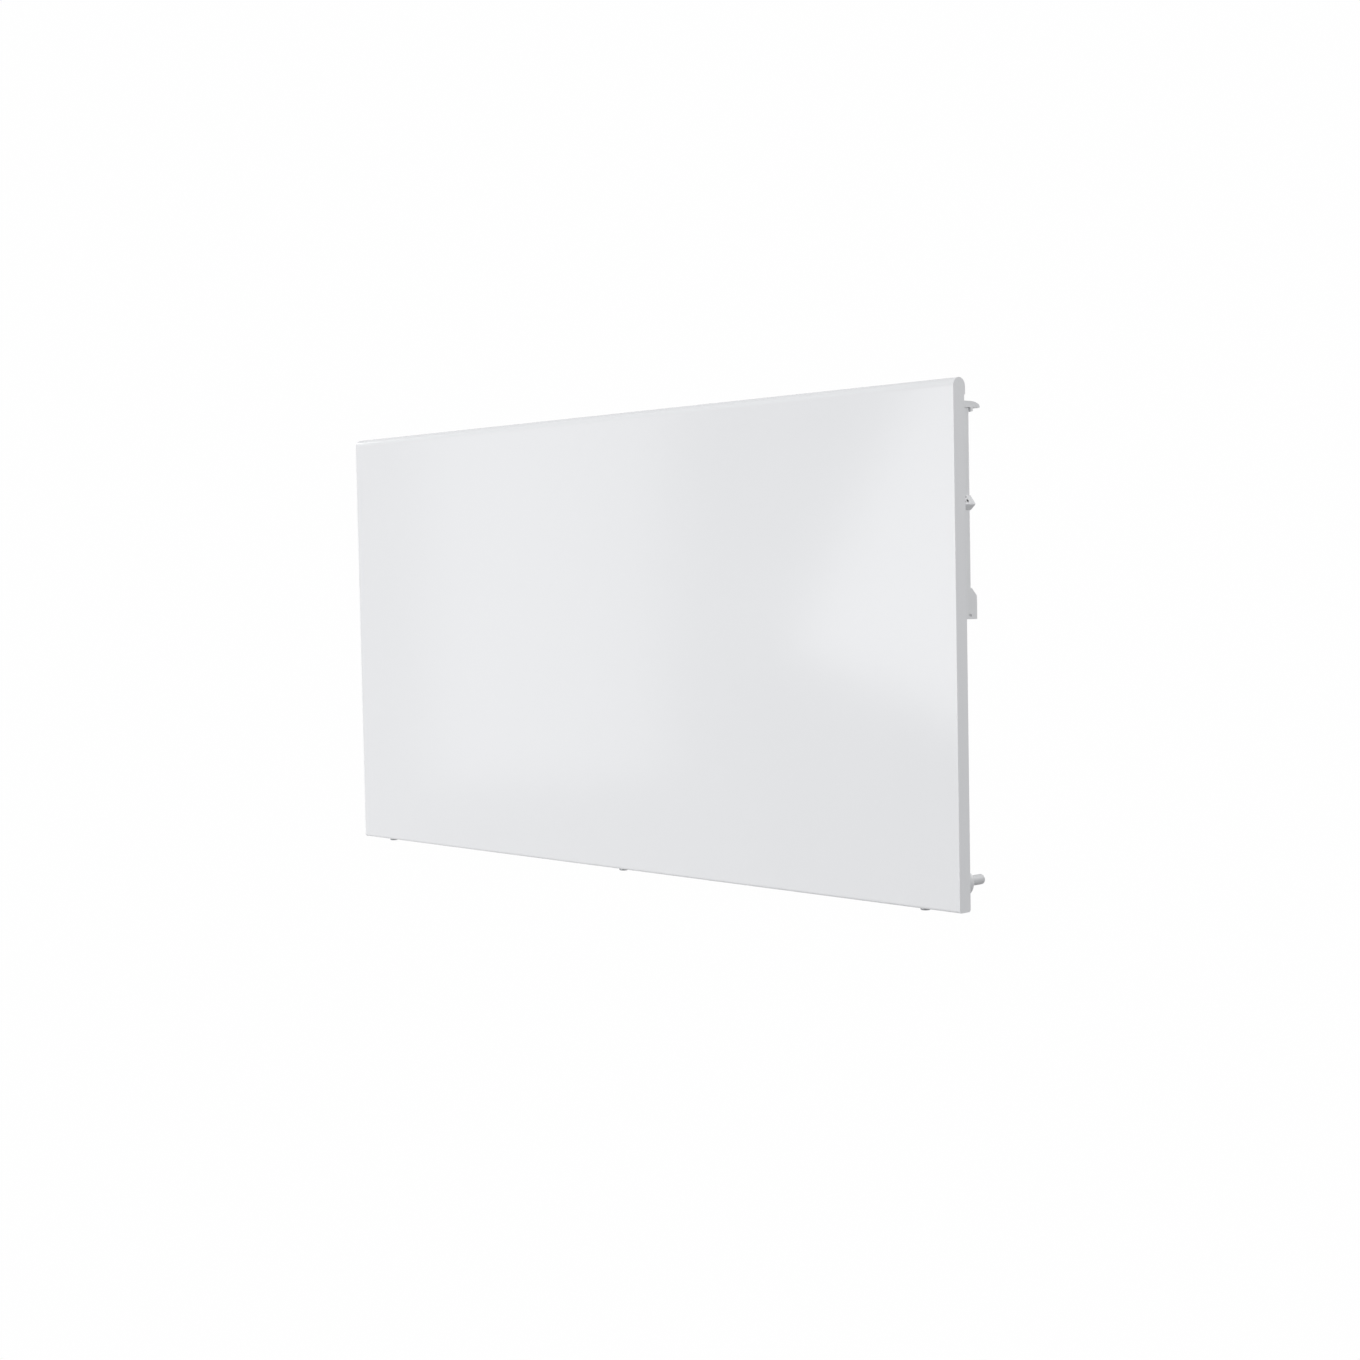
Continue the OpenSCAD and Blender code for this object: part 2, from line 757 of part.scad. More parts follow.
module control_housing() {
    ledge = 3;
    color(box_white) difference() {
        union() {
            difference() {
                union() {
                    translate([0, 0, box_z0]) box_form(0, box_y0, lid_z0);
                    hood_form(0);
                }
                translate([0, 0, box_z0 + box_wall]) box_form(box_wall, box_y0 - 1, lid_z0 + 2 * box_wall);
                hood_form(box_wall);
            }
            // ledges that carry the display board
            for (x = [box_x0 + box_wall - eps, box_x1 - box_wall - ledge + eps])
                span(
                    [x, display_y - display_half - 1, display_z - ledge],
                    [x + ledge, display_y + display_half + 1, display_z]
                );
            // bosses that the screws through the rim pull on
            for (x = boss_xs, z = boss_zs) rod_y(boss_r, base_y1, box_depth - box_wall + eps, x, z);
            for (x = boss_xs, z = boss_zs) boss_web(x, z);
        }
        for (x = boss_xs, z = boss_zs) rod_y(screw_hole_r, box_y0 - 1, base_y1 + box_screw_l, x, z);
        rod_z(inlet_r + 3 + running, box_z0 - 1, box_z0 + box_wall + 1, inlet_x, inlet_y);
        rod_x(grommet_r + running, box_x0 - 1, box_x0 + box_wall + 1, grommet_y, grommet_z);
        span(
            [box_x1 - box_wall - 1, nose_y0 + 2.5, nose_z0 + 2.5],
            [box_x1 + 1, nose_y1 - 2.5, nose_z0 + nose_h - 2.5]
        );
        span(
            [switch_x - frame_half_x - running, switch_y - frame_half_y - running, box_z0 - 1],
            [switch_x + frame_half_x + running, switch_y + frame_half_y + running, box_z0 + box_wall + 1]
        );
        // snap window low on the hood's side
        span([box_x1 - 1.2, hood_depth - 10.5, box_z0 + 2], [box_x1 + 1, hood_depth - 7.5, box_z0 + 3.4]);
    }
}

// Thin web between a boss and the side wall beside it
module boss_web(x, z) {
    to_wall = x < (box_x0 + box_x1) / 2 ? box_x0 + box_wall / 2 : box_x1 - box_wall / 2;
    span([min(x, to_wall), base_y1, z - 0.8], [max(x, to_wall), box_depth - box_wall + eps, z + 0.8]);
}

// Plate that closes the box towards the rim and carries the circuit board
module control_base() {
    gap = 0.2;
    post_r = 2.6;
    color(box_white) {
        difference() {
            span(
                [box_x0 + box_wall + gap, box_y0, box_z0 + box_wall + gap],
                [box_x1 - box_wall - gap, base_y1, lid_z0]
            );
            for (x = boss_xs, z = boss_zs) rod_y(screw_hole_r, box_y0 - 1, base_y1 + 1, x, z);
        }
        for (x = [board_x0 + 4, board_x1 - 4], z = [board_z0 + 4, board_z1 - 4])
            rod_y(post_r, base_y1 - eps, board_y, x, z);
    }
}

// Where the keys stand, from left to right
function key_x(i) = key_x0 + i * key_pitch;

module control_lid() {
    rib = 1.4;
    skirt = box_wall;
    color(box_white) {
        difference() {
            union() {
                difference() {
                    translate([0, 0, lid_z0]) linear_extrude(lid_h)
                        rear_rounded(box_x0, box_x1, lid_y0, box_depth, box_edge_r);
                    translate([0, 0, lid_z0 - 1]) linear_extrude(lid_h - lid_skin + 1)
                        rear_rounded(
                            box_x0 + skirt, box_x1 - skirt, lid_y0 + skirt, box_depth - skirt,
                            max(box_edge_r - skirt, 0.2)
                        );
                }
                // collar that centres the lid inside the box
                translate([0, 0, lid_z0 - 3]) linear_extrude(3 + eps) difference() {
                    lid_collar(skirt + 0.2);
                    lid_collar(skirt + 0.2 + rib);
                }
                span(
                    [box_x0 + skirt + 0.2, lid_y0 + skirt - eps, lid_z0],
                    [box_x1 - skirt - 0.2, lid_y0 + skirt + 0.2 + rib, lid_under + eps]
                );
                tongue();
            }
            span(
                [window_x - window_w / 2 - running, display_y - window_d / 2 - running, lid_z1 - window_t],
                [window_x + window_w / 2 + running, display_y + window_d / 2 + running, lid_z1 + 1]
            );
            span(
                [window_x - window_w / 2 + 1.5, display_y - window_d / 2 + 1.5, lid_z0 - 4],
                [window_x + window_w / 2 - 1.5, display_y + window_d / 2 - 1.5, lid_z1 + 1]
            );
            for (i = [0 : 2])
                span(
                    [key_x(i) - key_w / 2 - fit, display_y - key_d / 2 - fit, lid_z0 - 4],
                    [key_x(i) + key_w / 2 + fit, display_y + key_d / 2 + fit, lid_z1 + 1]
                );
        }
    }
}

module lid_collar(inset) {
    translate([box_x0 + inset, lid_y0 + inset])
        square([box_w - 2 * inset, box_depth - lid_y0 - 2 * inset]);
}

// Tongue that reaches from the lid to the wall: its top curves down to a blunt tip, and a short
// step hangs below its root
module tongue() {
    x1 = box_x1 + tongue_out;
    tip = total_depth - 0.1;
    blunt = 0.8;
    root = 3;
    step_l = 2.6;
    steps = 8;
    curve = [for (i = [0 : steps]) [
        box_depth + (tip - box_depth) * sin(90 * i / steps),
        lid_z0 + blunt + (lid_h - blunt) * cos(90 * i / steps)
    ]];
    along_x(x1 - tongue_w, x1)
        polygon(concat(
            [[box_depth - root, lid_z1]], curve,
            [[tip - blunt / 2, lid_z0], [box_depth - root, lid_z0]]
        ));
    difference() {
        along_x(x1 - tongue_w, x1)
            polygon([
                [box_depth + 0.2, lid_z0 + eps], [box_depth + step_l, lid_z0 + eps],
                [box_depth + step_l, lid_z0 - 2.6], [box_depth + 0.2, lid_z0 - 3.2]
            ]);
        span([box_x1 - tongue_w, 0, 0], [box_x1 - tongue_w + 1.6, total_depth, panel_h]);
    }
    span([box_x1, box_depth - 8, lid_z0], [x1, box_depth + 1, lid_z1]);
}

module display_window() {
    color(black) span(
        [window_x - window_w / 2, display_y - window_d / 2, lid_z1 - window_t],
        [window_x + window_w / 2, display_y + window_d / 2, lid_z1]
    );
}

module display_board() {
    gap = 0.4;
    color(board_green) span(
        [box_x0 + box_wall + gap, display_y - display_half, display_z],
        [box_x1 - box_wall - gap, display_y + display_half, display_z + board_t]
    );
}

module display_module() {
    color(black) span(
        [window_x - window_w / 2 + 2.5, display_y - 5.5, display_z + board_t],
        [window_x + window_w / 2 - 2.5, display_y + 5.5, lid_under - 0.5]
    );
}

module key_switches() {
    color(black) for (i = [0 : 2]) {
        span(
            [key_x(i) - 3, display_y - 3, display_z + board_t],
            [key_x(i) + 3, display_y + 3, switch_top_z - 1.2]
        );
        rod_z(1.7, switch_top_z - 1.2 - eps, switch_top_z, key_x(i), display_y);
    }
}

// Key cap, its flange under the lid's skin, and the stem down to its switch
module key_cap(i) {
    x = key_x(i);
    edge = 0.8;
    top = lid_z1 + key_rise;
    flange_top = lid_under - 0.25;
    low = flange_top - key_flange_t;
    linear_extrude_from(low, top - edge) key_plan(x, 0);
    hull() {
        linear_extrude_from(top - edge, top - edge + eps) key_plan(x, 0);
        linear_extrude_from(top - eps, top) key_plan(x, edge);
    }
    linear_extrude_from(low, flange_top) key_plan(x, -0.9);
    rod_z(1.6, switch_top_z + key_travel + 0.1, low + eps, x, display_y);
}

module linear_extrude_from(z0, z1) {
    translate([0, 0, z0]) linear_extrude(z1 - z0) children();
}

module key_plan(x, inset) {
    translate([x - key_w / 2 + inset, display_y - key_d / 2 + inset])
        square([key_w - 2 * inset, key_d - 2 * inset]);
}

module key_minus() {
    color(box_white) key_cap(0);
}

module key_plus() {
    color(box_white) key_cap(1);
}

module key_power() {
    color(box_white) key_cap(2);
}

module main_board() {
    color(board_green) span([board_x0, board_y, board_z0], [board_x1, parts_y, board_z1]);
}

module relay() {
    color(black) translate([board_x0 + 3, parts_y, relay_z]) cube(relay_size);
}

module power_module() {
    x = (board_x0 + board_x1 - module_size.x) / 2;
    color("#d8c34a") translate([x, parts_y, module_z]) cube(module_size);
}

// Three-way terminal block with its screw wells
module terminal_block() {
    pitch = 9;
    well_r = 2.2;
    wire_way_r = 1.8;
    x0 = (board_x0 + board_x1) / 2 - 1.5 * pitch;
    color("#3c6f9e") difference() {
        span([x0, parts_y, terminal_z], [x0 + 3 * pitch, parts_y + terminal_d, terminal_z + terminal_h]);
        for (i = [0 : 2]) {
            x = x0 + (i + 0.5) * pitch;
            rod_y(well_r, parts_y + terminal_d / 2, parts_y + terminal_d + 1, x, terminal_z + terminal_h / 2);
            rod_z(wire_way_r, terminal_z - 1, terminal_z + terminal_h / 2, x, parts_y + terminal_d / 3);
        }
    }
}

// End view of the sensor nose as (x, z): slope above, blunt crest, return below
module nose_profile(inset) {
    foot = box_x1 + inset * 0.6;
    low = nose_z0 + inset * 1.6;
    high = nose_z0 + nose_h - inset * 1.6;
    crest_z = nose_z0 + nose_h * nose_crest;
    out = nose_out - inset * 1.2;
    polygon([
        [foot, low], [box_x1 + out, crest_z - 0.3], [box_x1 + out, crest_z + 0.3], [foot, high]
    ]);
}

module sensor_cover() {
    slope = atan2(nose_h * (1 - nose_crest), nose_out);
    vent_r = 0.85;
    vent_pitch = 3.2;
    color(box_white) difference() {
        union() {
            along_y(nose_y0, nose_y1) nose_profile(0);
            span(
                [box_x1 - box_wall - 0.6, nose_y0 + 2.7, nose_z0 + 2.7],
                [box_x1 + eps, nose_y1 - 2.7, nose_z0 + nose_h - 2.7]
            );
        }
        along_y(nose_y0 + nose_t, nose_y1 - nose_t) nose_profile(nose_t);
        span(
            [box_x1 - box_wall - 2, nose_y0 + 3.9, nose_z0 + 3.7],
            [box_x1 + 0.8, nose_y1 - 3.9, nose_z0 + nose_h - 3.7]
        );
        // vent holes in two rows on the upper slope
        for (down = [0.19, 0.65], side = [-1, 1])
            translate([
                box_x1 + nose_out * down, (nose_y0 + nose_y1) / 2 + side * vent_pitch / 2,
                nose_z0 + nose_h * (1 - (1 - nose_crest) * down)
            ])
                rotate([0, 90 - slope, 0]) cylinder(r = vent_r, h = 6, center = true, $fn = 16);
    }
}

// Thermistor bead on its two leads, from a holder inside the box's side wall
module room_sensor() {
    y = (nose_y0 + nose_y1) / 2;
    z = nose_z0 + nose_h * 0.5;
    holder_x = box_x1 - box_wall - 0.6;
    color(black) {
        span([holder_x - 4, y - 4, z - 4], [holder_x, y + 4, z + 4]);
        for (side = [-0.6, 0.6]) rod_x(0.35, holder_x - eps, box_x1 + 0.8, y + side, z);
        translate([box_x1 + 1, y, z]) sphere(0.95);
    }
}

// Case of the rocker switch, snapped into the box's floor
module switch_frame() {
    color(black) difference() {
        union() {
            span(
                [switch_x - frame_half_x, switch_y - frame_half_y, box_z0 - eps],
                [switch_x + frame_half_x, switch_y + frame_half_y, frame_top]
            );
            span(
                [switch_x - frame_half_x - bezel, switch_y - frame_half_y - bezel, box_z0 - bezel_t],
                [switch_x + frame_half_x + bezel, switch_y + frame_half_y + bezel, box_z0]
            );
            for (i = [-1 : 1])
                span(
                    [switch_x + i * 6.5 - 0.4, switch_y - 2.4, frame_top - eps],
                    [switch_x + i * 6.5 + 0.4, switch_y + 2.4, frame_top + 7]
                );
        }
        span(
            [switch_x - cavity_half, switch_y - cavity_w / 2, box_z0 - bezel_t - 1],
            [switch_x + cavity_half, switch_y + cavity_w / 2, pivot_z + 5]
        );
        pin_reach = cavity_w / 2 + 0.7;
        rod_y(rocker_pin_r + running, switch_y - pin_reach, switch_y + pin_reach, switch_x, pivot_z);
    }
}

// Rocker: two flats that meet in a shallow valley, on a pin across the case
module switch_rocker() {
    rise = rocker_half * tan(rocker_tilt);
    color(black) translate([switch_x, 0, pivot_z]) rotate([0, rocker_tilt, 0]) {
        along_y(switch_y - rocker_w / 2, switch_y + rocker_w / 2)
            polygon([
                [-rocker_half, -rocker_v - rise], [0, -rocker_v], [rocker_half, -rocker_v - rise],
                [rocker_half, 0.6], [2.5, 2.4], [-2.5, 2.4], [-rocker_half, 0.6]
            ]);
        rod_y(rocker_pin_r, switch_y - cavity_w / 2 - 0.5, switch_y + cavity_w / 2 + 0.5, 0, 0);
    }
}

// Flanged bush of the mains cable inlet, flush with the hood's floor
module cable_bush() {
    bush_h = 8;
    color(black) difference() {
        union() {
            rod_z(inlet_r + 3, box_z0, box_z0 + bush_h, inlet_x, inlet_y);
            rod_z(bush_flange_r, box_z0 + box_wall, box_z0 + box_wall + 2, inlet_x, inlet_y);
        }
        rod_z(inlet_r, box_z0 - 1, box_z0 + bush_h + 1, inlet_x, inlet_y);
    }
}

// Grommet where the inner leads pass from the box into the casing
module wire_grommet() {
    inside = case_step_x - case_sheet;
    outside = box_x0 + box_wall;
    color(black) difference() {
        union() {
            rod_x(grommet_r, inside - 3, outside + 3, grommet_y, grommet_z);
            rod_x(grommet_r + 2, inside - 1.8, inside, grommet_y, grommet_z);
            rod_x(grommet_r + 2, outside, outside + 1.8, grommet_y, grommet_z);
        }
        rod_x(grommet_r - 1.6, inside - 4, outside + 4, grommet_y, grommet_z);
    }
}

module box_screws() {
    color(steel) for (x = boss_xs, z = boss_zs)
        translate([x, rim_y, z]) rotate([-90, 0, 0]) screw(box_screw_l);
}

hung() wall_bracket();
hung() front_panel();
hung() rear_casing();
hung() panel_screws();
hung() heat_shield();
hung() element_profile();
hung() element_rod();
hung() element_bracket_left();
hung() element_bracket_right();
hung() ceramic_bushes();
hung() bracket_rivets();
hung() thermal_cutout();
hung() wall_spacer_left();
hung() wall_spacer_right();
hung() control_housing();
hung() control_base();
hung() control_lid();
hung() display_window();
hung() display_board();
hung() display_module();
hung() key_switches();
hung() key_minus();
hung() key_plus();
hung() key_power();
hung() main_board();
hung() relay();
hung() power_module();
hung() terminal_block();
hung() sensor_cover();
hung() room_sensor();
hung() switch_frame();
hung() switch_rocker();
hung() cable_bush();
hung() wire_grommet();
hung() box_screws();
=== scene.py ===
# %% [markdown]
# # A flat panel convector heater
#
# The heater hangs on a wall bracket: a white sheet steel front with a rolled upper edge, a slotted
# casing behind it that holds the heating element, and a plastic thermostat box at the right-hand
# end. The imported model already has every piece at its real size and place, so this lesson gives the
# pieces their finish, and models again those whose rounding or small forms a camera would see.
#
# The frame counts in metres: x along the heater, y from the room towards the wall, z up, with the
# origin on the wall between the bracket's four screw holes. Sizes of pieces are written here in
# millimetres, as on a drawing, and MM turns them into metres.

import json
import math

import bmesh
import bpy
from mathutils import Matrix, Quaternion, Vector

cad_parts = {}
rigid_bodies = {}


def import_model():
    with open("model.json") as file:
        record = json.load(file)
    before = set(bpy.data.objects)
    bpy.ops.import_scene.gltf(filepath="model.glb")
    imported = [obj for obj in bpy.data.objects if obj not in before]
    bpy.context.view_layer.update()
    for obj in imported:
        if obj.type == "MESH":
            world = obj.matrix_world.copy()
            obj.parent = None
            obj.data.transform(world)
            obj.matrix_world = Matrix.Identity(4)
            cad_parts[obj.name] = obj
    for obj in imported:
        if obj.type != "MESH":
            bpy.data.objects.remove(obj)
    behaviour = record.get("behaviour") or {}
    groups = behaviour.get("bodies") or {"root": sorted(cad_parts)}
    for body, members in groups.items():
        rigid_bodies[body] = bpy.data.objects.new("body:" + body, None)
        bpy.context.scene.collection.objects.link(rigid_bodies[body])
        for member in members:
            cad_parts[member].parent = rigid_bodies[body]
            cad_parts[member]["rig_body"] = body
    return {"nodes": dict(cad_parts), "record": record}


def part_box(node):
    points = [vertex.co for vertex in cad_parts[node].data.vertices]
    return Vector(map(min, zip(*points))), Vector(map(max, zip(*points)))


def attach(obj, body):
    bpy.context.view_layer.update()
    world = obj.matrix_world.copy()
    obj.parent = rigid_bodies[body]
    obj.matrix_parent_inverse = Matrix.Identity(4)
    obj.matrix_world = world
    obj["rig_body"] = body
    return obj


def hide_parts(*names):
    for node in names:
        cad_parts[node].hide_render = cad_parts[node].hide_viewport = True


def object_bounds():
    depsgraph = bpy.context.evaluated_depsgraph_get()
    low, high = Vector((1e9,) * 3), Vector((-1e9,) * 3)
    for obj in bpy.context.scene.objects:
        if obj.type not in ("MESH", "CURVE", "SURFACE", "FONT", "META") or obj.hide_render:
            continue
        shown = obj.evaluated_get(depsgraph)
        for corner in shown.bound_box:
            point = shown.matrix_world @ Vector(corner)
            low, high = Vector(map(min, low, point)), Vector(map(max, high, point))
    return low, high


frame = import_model()
CAD_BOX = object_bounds()
MM = 0.001
QUARTER_TURN = math.radians(90)
print("pieces loaded:", len(frame["nodes"]))

# %% [markdown]
# ## The camera
#
# A camera is a place, a direction and a lens. Here all three were fitted, until the edges and the
# corners of the modelled front lay on those in the picture. The turn is written as three plain
# angles, because a reader can check those: how far the camera is turned to the left, how far it
# looks down, and how far it leans. The picture is square, and Blender's lens angle then holds for
# its width.

# %% Set the camera
CAMERA_PLACE = Vector((1.3255, -1.2178, 0.0443))
TURNED_LEFT = math.radians(47.55)
LOOKS_DOWN = math.radians(2.653)
LEANS = math.radians(-1.091)
LENS_MM = 56.98
SENSOR_MM = 36

camera = bpy.data.objects.new("photo_camera", bpy.data.cameras.new("photo_camera"))
camera.data.lens = LENS_MM
camera.data.sensor_width = SENSOR_MM
camera.matrix_world = (
    Matrix.Translation(CAMERA_PLACE)
    @ Matrix.Rotation(TURNED_LEFT, 4, "Z")
    @ Matrix.Rotation(QUARTER_TURN - LOOKS_DOWN, 4, "X")
    @ Matrix.Rotation(LEANS, 4, "Z")
)
bpy.context.scene.collection.objects.link(camera)
bpy.context.scene.camera = camera
bpy.context.scene.view_settings.view_transform = "Standard"
print("camera stands", round((CAMERA_PLACE - Vector(CAD_BOX[1])).length, 2), "m from the heater")

# %% [markdown]
# ## Shader maths as plain sums
#
# A pattern in a material is arithmetic on textures, and wiring each sum by hand hides what it does.
# The class Wire stands for one output of a node. Adding or multiplying two wires adds the Math node
# that does it, so a line such as 0.4 + 0.1 * grain reads as what it means. The class Graph holds
# the nodes of one material or of the world: node() makes any node, sets its settings first and then
# its sockets. The class Finish is the graph of one material, whose colour(), roughness() and bump()
# connect the results to the shader. Numbers that are the same all over a surface stay on the
# shader's own sockets.

# %% Make the shader helpers
FINISHES = {}


class Wire:
    """One output of a node; sums, differences and products of wires add Math nodes."""

    def __init__(self, graph, socket):
        self.graph = graph
        self.socket = socket

    def math(self, operation, *values):
        return self.graph.node("ShaderNodeMath", {"operation": operation}, dict(enumerate(values)))

    def __add__(self, other):
        return self.math("ADD", self, other)

    __radd__ = __add__

    def __sub__(self, other):
        return self.math("SUBTRACT", self, other)

    def __rsub__(self, other):
        return self.math("SUBTRACT", other, self)

    def __mul__(self, other):
        return self.math("MULTIPLY", self, other)

    __rmul__ = __mul__

    def either(self, other):
        """1 where this wire or the other one is 1."""
        return self.math("MAXIMUM", self, other)

    def between(self, low, high):
        """0 below low, 1 above high, and a smooth step between them."""
        return self.graph.node(
            "ShaderNodeMapRange",
            {"interpolation_type": "SMOOTHSTEP"},
            {"Value": self, "From Min": low, "From Max": high},
        )


class Graph:
    """The nodes of one material or of the world."""

    def __init__(self, tree):
        self.tree = tree

    def node(self, kind, settings, sockets, out=0):
        made = self.tree.nodes.new(kind)
        for name, value in settings.items():
            setattr(made, name, value)
        self.fill(made, sockets)
        return Wire(self, made.outputs[out])

    def fill(self, node, sockets):
        """Set a node's sockets to numbers and colours, or link them to wires."""
        for name, value in sockets.items():
            if isinstance(value, Wire):
                self.tree.links.new(value.socket, node.inputs[name])
            else:
                node.inputs[name].default_value = value


class Finish(Graph):
    """One material, with a Principled shader whose constants are given as a dict."""

    def __init__(self, name, constants):
        material = bpy.data.materials.new(name)
        material.use_nodes = True
        super().__init__(material.node_tree)
        self.shader = self.tree.nodes["Principled BSDF"]
        self.fill(self.shader, constants)
        self.place = self.node("ShaderNodeTexCoord", {}, {}, "Object")
        FINISHES[name] = material
        print("new finish:", name)

    def stretched(self, x, y, z):
        """Object coordinates multiplied along each axis, for grain that runs one way."""
        return self.node("ShaderNodeMapping", {}, {"Vector": self.place, "Scale": (x, y, z)})

    def noise(self, scale, detail=2.0, vector=None):
        sockets = {"Vector": vector or self.place, "Scale": scale, "Detail": detail}
        return self.node("ShaderNodeTexNoise", {}, sockets)

    def cells(self, scale, out="Distance", vector=None):
        sockets = {"Vector": vector or self.place, "Scale": scale}
        return self.node("ShaderNodeTexVoronoi", {}, sockets, out)

    def mix(self, factor, first, second):
        """Blend of two colours; on a Mix node they are sockets 6 and 7, and the result is 2."""
        sockets = {0: factor, 6: first, 7: second}
        return self.node("ShaderNodeMix", {"data_type": "RGBA"}, sockets, 2)

    def colour(self, wire):
        self.fill(self.shader, {"Base Color": wire})

    def roughness(self, wire):
        self.fill(self.shader, {"Roughness": wire})

    def bump(self, height, depth, strength):
        """Relief of the given depth in millimetres."""
        sockets = {"Height": height, "Distance": depth * MM, "Strength": strength}
        self.fill(self.shader, {"Normal": self.node("ShaderNodeBump", {}, sockets, "Normal")})


def rgba(red, green, blue):
    return (red, green, blue, 1.0)


def shades(colour, spread):
    """A darker and a lighter version of one colour, spread apart by that share."""
    return rgba(*[c * (1 - spread) for c in colour]), rgba(*[c * (1 + spread) for c in colour])


# %% [markdown]
# ## White enamel on the front
#
# The front is powder-coated: the powder melts to a skin that is almost flat, with a faint orange
# peel and a soft, wide gloss. A single colour would look like paper. The peel is a fine noise used
# as relief, a hundredth of a millimetre deep in front and deeper on the duller rear. The gloss and
# the shade wander slightly over a hand's width, which is what lets a lamp's reflection end softly.

# %% Make the white enamels
def enamel(name, colour, gloss, peel_depth):
    finish = Finish(name, {"IOR": 1.5})
    drift = finish.noise(9.0, detail=3.0)
    peel = finish.noise(620.0)
    fine = finish.noise(2600.0, detail=1.0)
    finish.colour(finish.mix(drift, *shades(colour, 0.006)))
    finish.roughness(gloss - 0.03 + 0.06 * drift)
    finish.bump(peel + 0.15 * fine, peel_depth, 0.5)


enamel("white_enamel", (0.78, 0.785, 0.795), 0.12, 0.008)
enamel("white_enamel_rear", (0.75, 0.755, 0.765), 0.34, 0.03)

# %% [markdown]
# ## Zinc-plated and drawn steel
#
# Hot-dip zinc freezes in flakes, each with its own tilt and shine, so the bracket gets cells with a
# random shade that also change the roughness. The screws are plated too, but plain, and their colour
# is darkened as painted shade, because their small heads sit in the shade under the flange. The rod
# of the heating element is drawn, so its grain runs along x and it is a little brown from the heat.

# %% Make the steels
def zinc_steel():
    finish = Finish("zinc_steel", {"Metallic": 1.0})
    flake = finish.cells(150.0, "Color", finish.stretched(1.0, 1.0, 0.7))
    shade = finish.node("ShaderNodeRGBToBW", {}, {"Color": flake})
    grain = finish.noise(900.0, detail=3.0)
    mottled = 0.7 * shade + 0.3 * grain
    finish.colour(finish.mix(mottled, rgba(0.5, 0.52, 0.54), rgba(0.66, 0.67, 0.69)))
    finish.roughness(0.3 + 0.2 * mottled)
    finish.bump(grain, 0.01, 0.4)


def screw_steel():
    finish = Finish("screw_steel", {"Metallic": 1.0})
    haze = finish.noise(400.0, detail=3.0)
    # Painted shade: this dark grey stands for the shade under the flange that the heads sit in.
    finish.colour(finish.mix(haze, rgba(0.18, 0.185, 0.195), rgba(0.27, 0.275, 0.285)))
    finish.roughness(0.28 + 0.15 * haze)
    finish.bump(finish.noise(3000.0, detail=1.0), 0.01, 0.4)


def rod_steel():
    finish = Finish("rod_steel", {"Metallic": 1.0})
    drawn = finish.noise(1500.0, vector=finish.stretched(0.02, 1.0, 1.0))
    tarnish = finish.noise(25.0, detail=3.0).between(0.35, 0.7)
    finish.colour(finish.mix(tarnish, rgba(0.5, 0.5, 0.5), rgba(0.42, 0.36, 0.28)))
    finish.roughness(0.25 + 0.2 * drawn)
    finish.bump(drawn, 0.01, 0.5)


zinc_steel()
screw_steel()
rod_steel()

# %% [markdown]
# ## Aluminium
#
# The finned profile is pressed through a die, which draws fine lines along its length. The heat
# shield is thin rolled sheet, brighter, with the same kind of lines but weaker. One function makes
# both, because only the strength of the lines and the shine differ.

# %% Make the aluminium
def aluminium(name, colour, gloss, line_depth):
    finish = Finish(name, {"Metallic": 1.0})
    lines = finish.noise(1800.0, detail=3.0, vector=finish.stretched(0.008, 1.0, 1.0))
    drift = finish.noise(14.0, detail=3.0)
    finish.colour(finish.mix(0.6 * lines + 0.4 * drift, *shades(colour, 0.08)))
    finish.roughness(gloss + 0.12 * lines)
    finish.bump(lines, line_depth, 0.6)


aluminium("element_aluminium", (0.62, 0.63, 0.64), 0.32, 0.03)
aluminium("shield_aluminium", (0.74, 0.75, 0.76), 0.2, 0.01)

# %% [markdown]
# ## Moulded plastic, ceramic and rubber
#
# Moulded plastic copies the spark-eroded skin of its mould: very small, even dimples that make it
# look soft rather than shiny. Its parts differ only in colour, gloss and the size and depth of the
# dimples, so they come from one function, and the rocker is its smoothest version. Ceramic and
# rubber have the same build, with coarser dimples and almost no gloss.

# %% Make the moulded finishes
def moulded(name, colour, gloss, dimple_scale, dimple_depth, spread=0.02):
    finish = Finish(name, {"IOR": 1.48})
    dimples = finish.noise(dimple_scale)
    drift = finish.noise(30.0)
    finish.colour(finish.mix(0.5 * dimples + 0.5 * drift, *shades(colour, spread)))
    finish.roughness(gloss - 0.05 + 0.1 * dimples)
    finish.bump(dimples, dimple_depth, 0.6)


moulded("box_plastic", (0.745, 0.75, 0.757), 0.45, 1900.0, 0.02)
# The spacers' grey is partly their own darker plastic and partly painted shade, for the panel's
# shadow over their seats.
moulded("spacer_plastic", (0.66, 0.665, 0.672), 0.42, 1500.0, 0.02)
moulded("key_plastic", (0.72, 0.725, 0.735), 0.4, 2400.0, 0.015)
moulded("black_plastic", (0.022, 0.022, 0.024), 0.5, 1800.0, 0.03, 0.2)
moulded("rocker_plastic", (0.018, 0.018, 0.02), 0.22, 900.0, 0.008, 0.1)
moulded("blue_plastic", (0.06, 0.17, 0.38), 0.45, 1500.0, 0.02, 0.06)
moulded("yellow_film", (0.72, 0.5, 0.08), 0.3, 500.0, 0.03, 0.06)
moulded("bush_rubber", (0.03, 0.03, 0.032), 0.7, 1200.0, 0.03, 0.15)
moulded("bush_ceramic", (0.82, 0.77, 0.66), 0.75, 700.0, 0.05, 0.05)

# %% [markdown]
# ## Circuit board and display window
#
# A board's green is lacquer over copper tracks, which show as slightly lighter strips with small
# pads. Bricks turned into thin lines give the tracks, and small cells give the pads. The window is
# smoked plastic with a polish, so it stays almost black and only its gloss shows, and the unlit
# figures under it are a slightly lighter version.

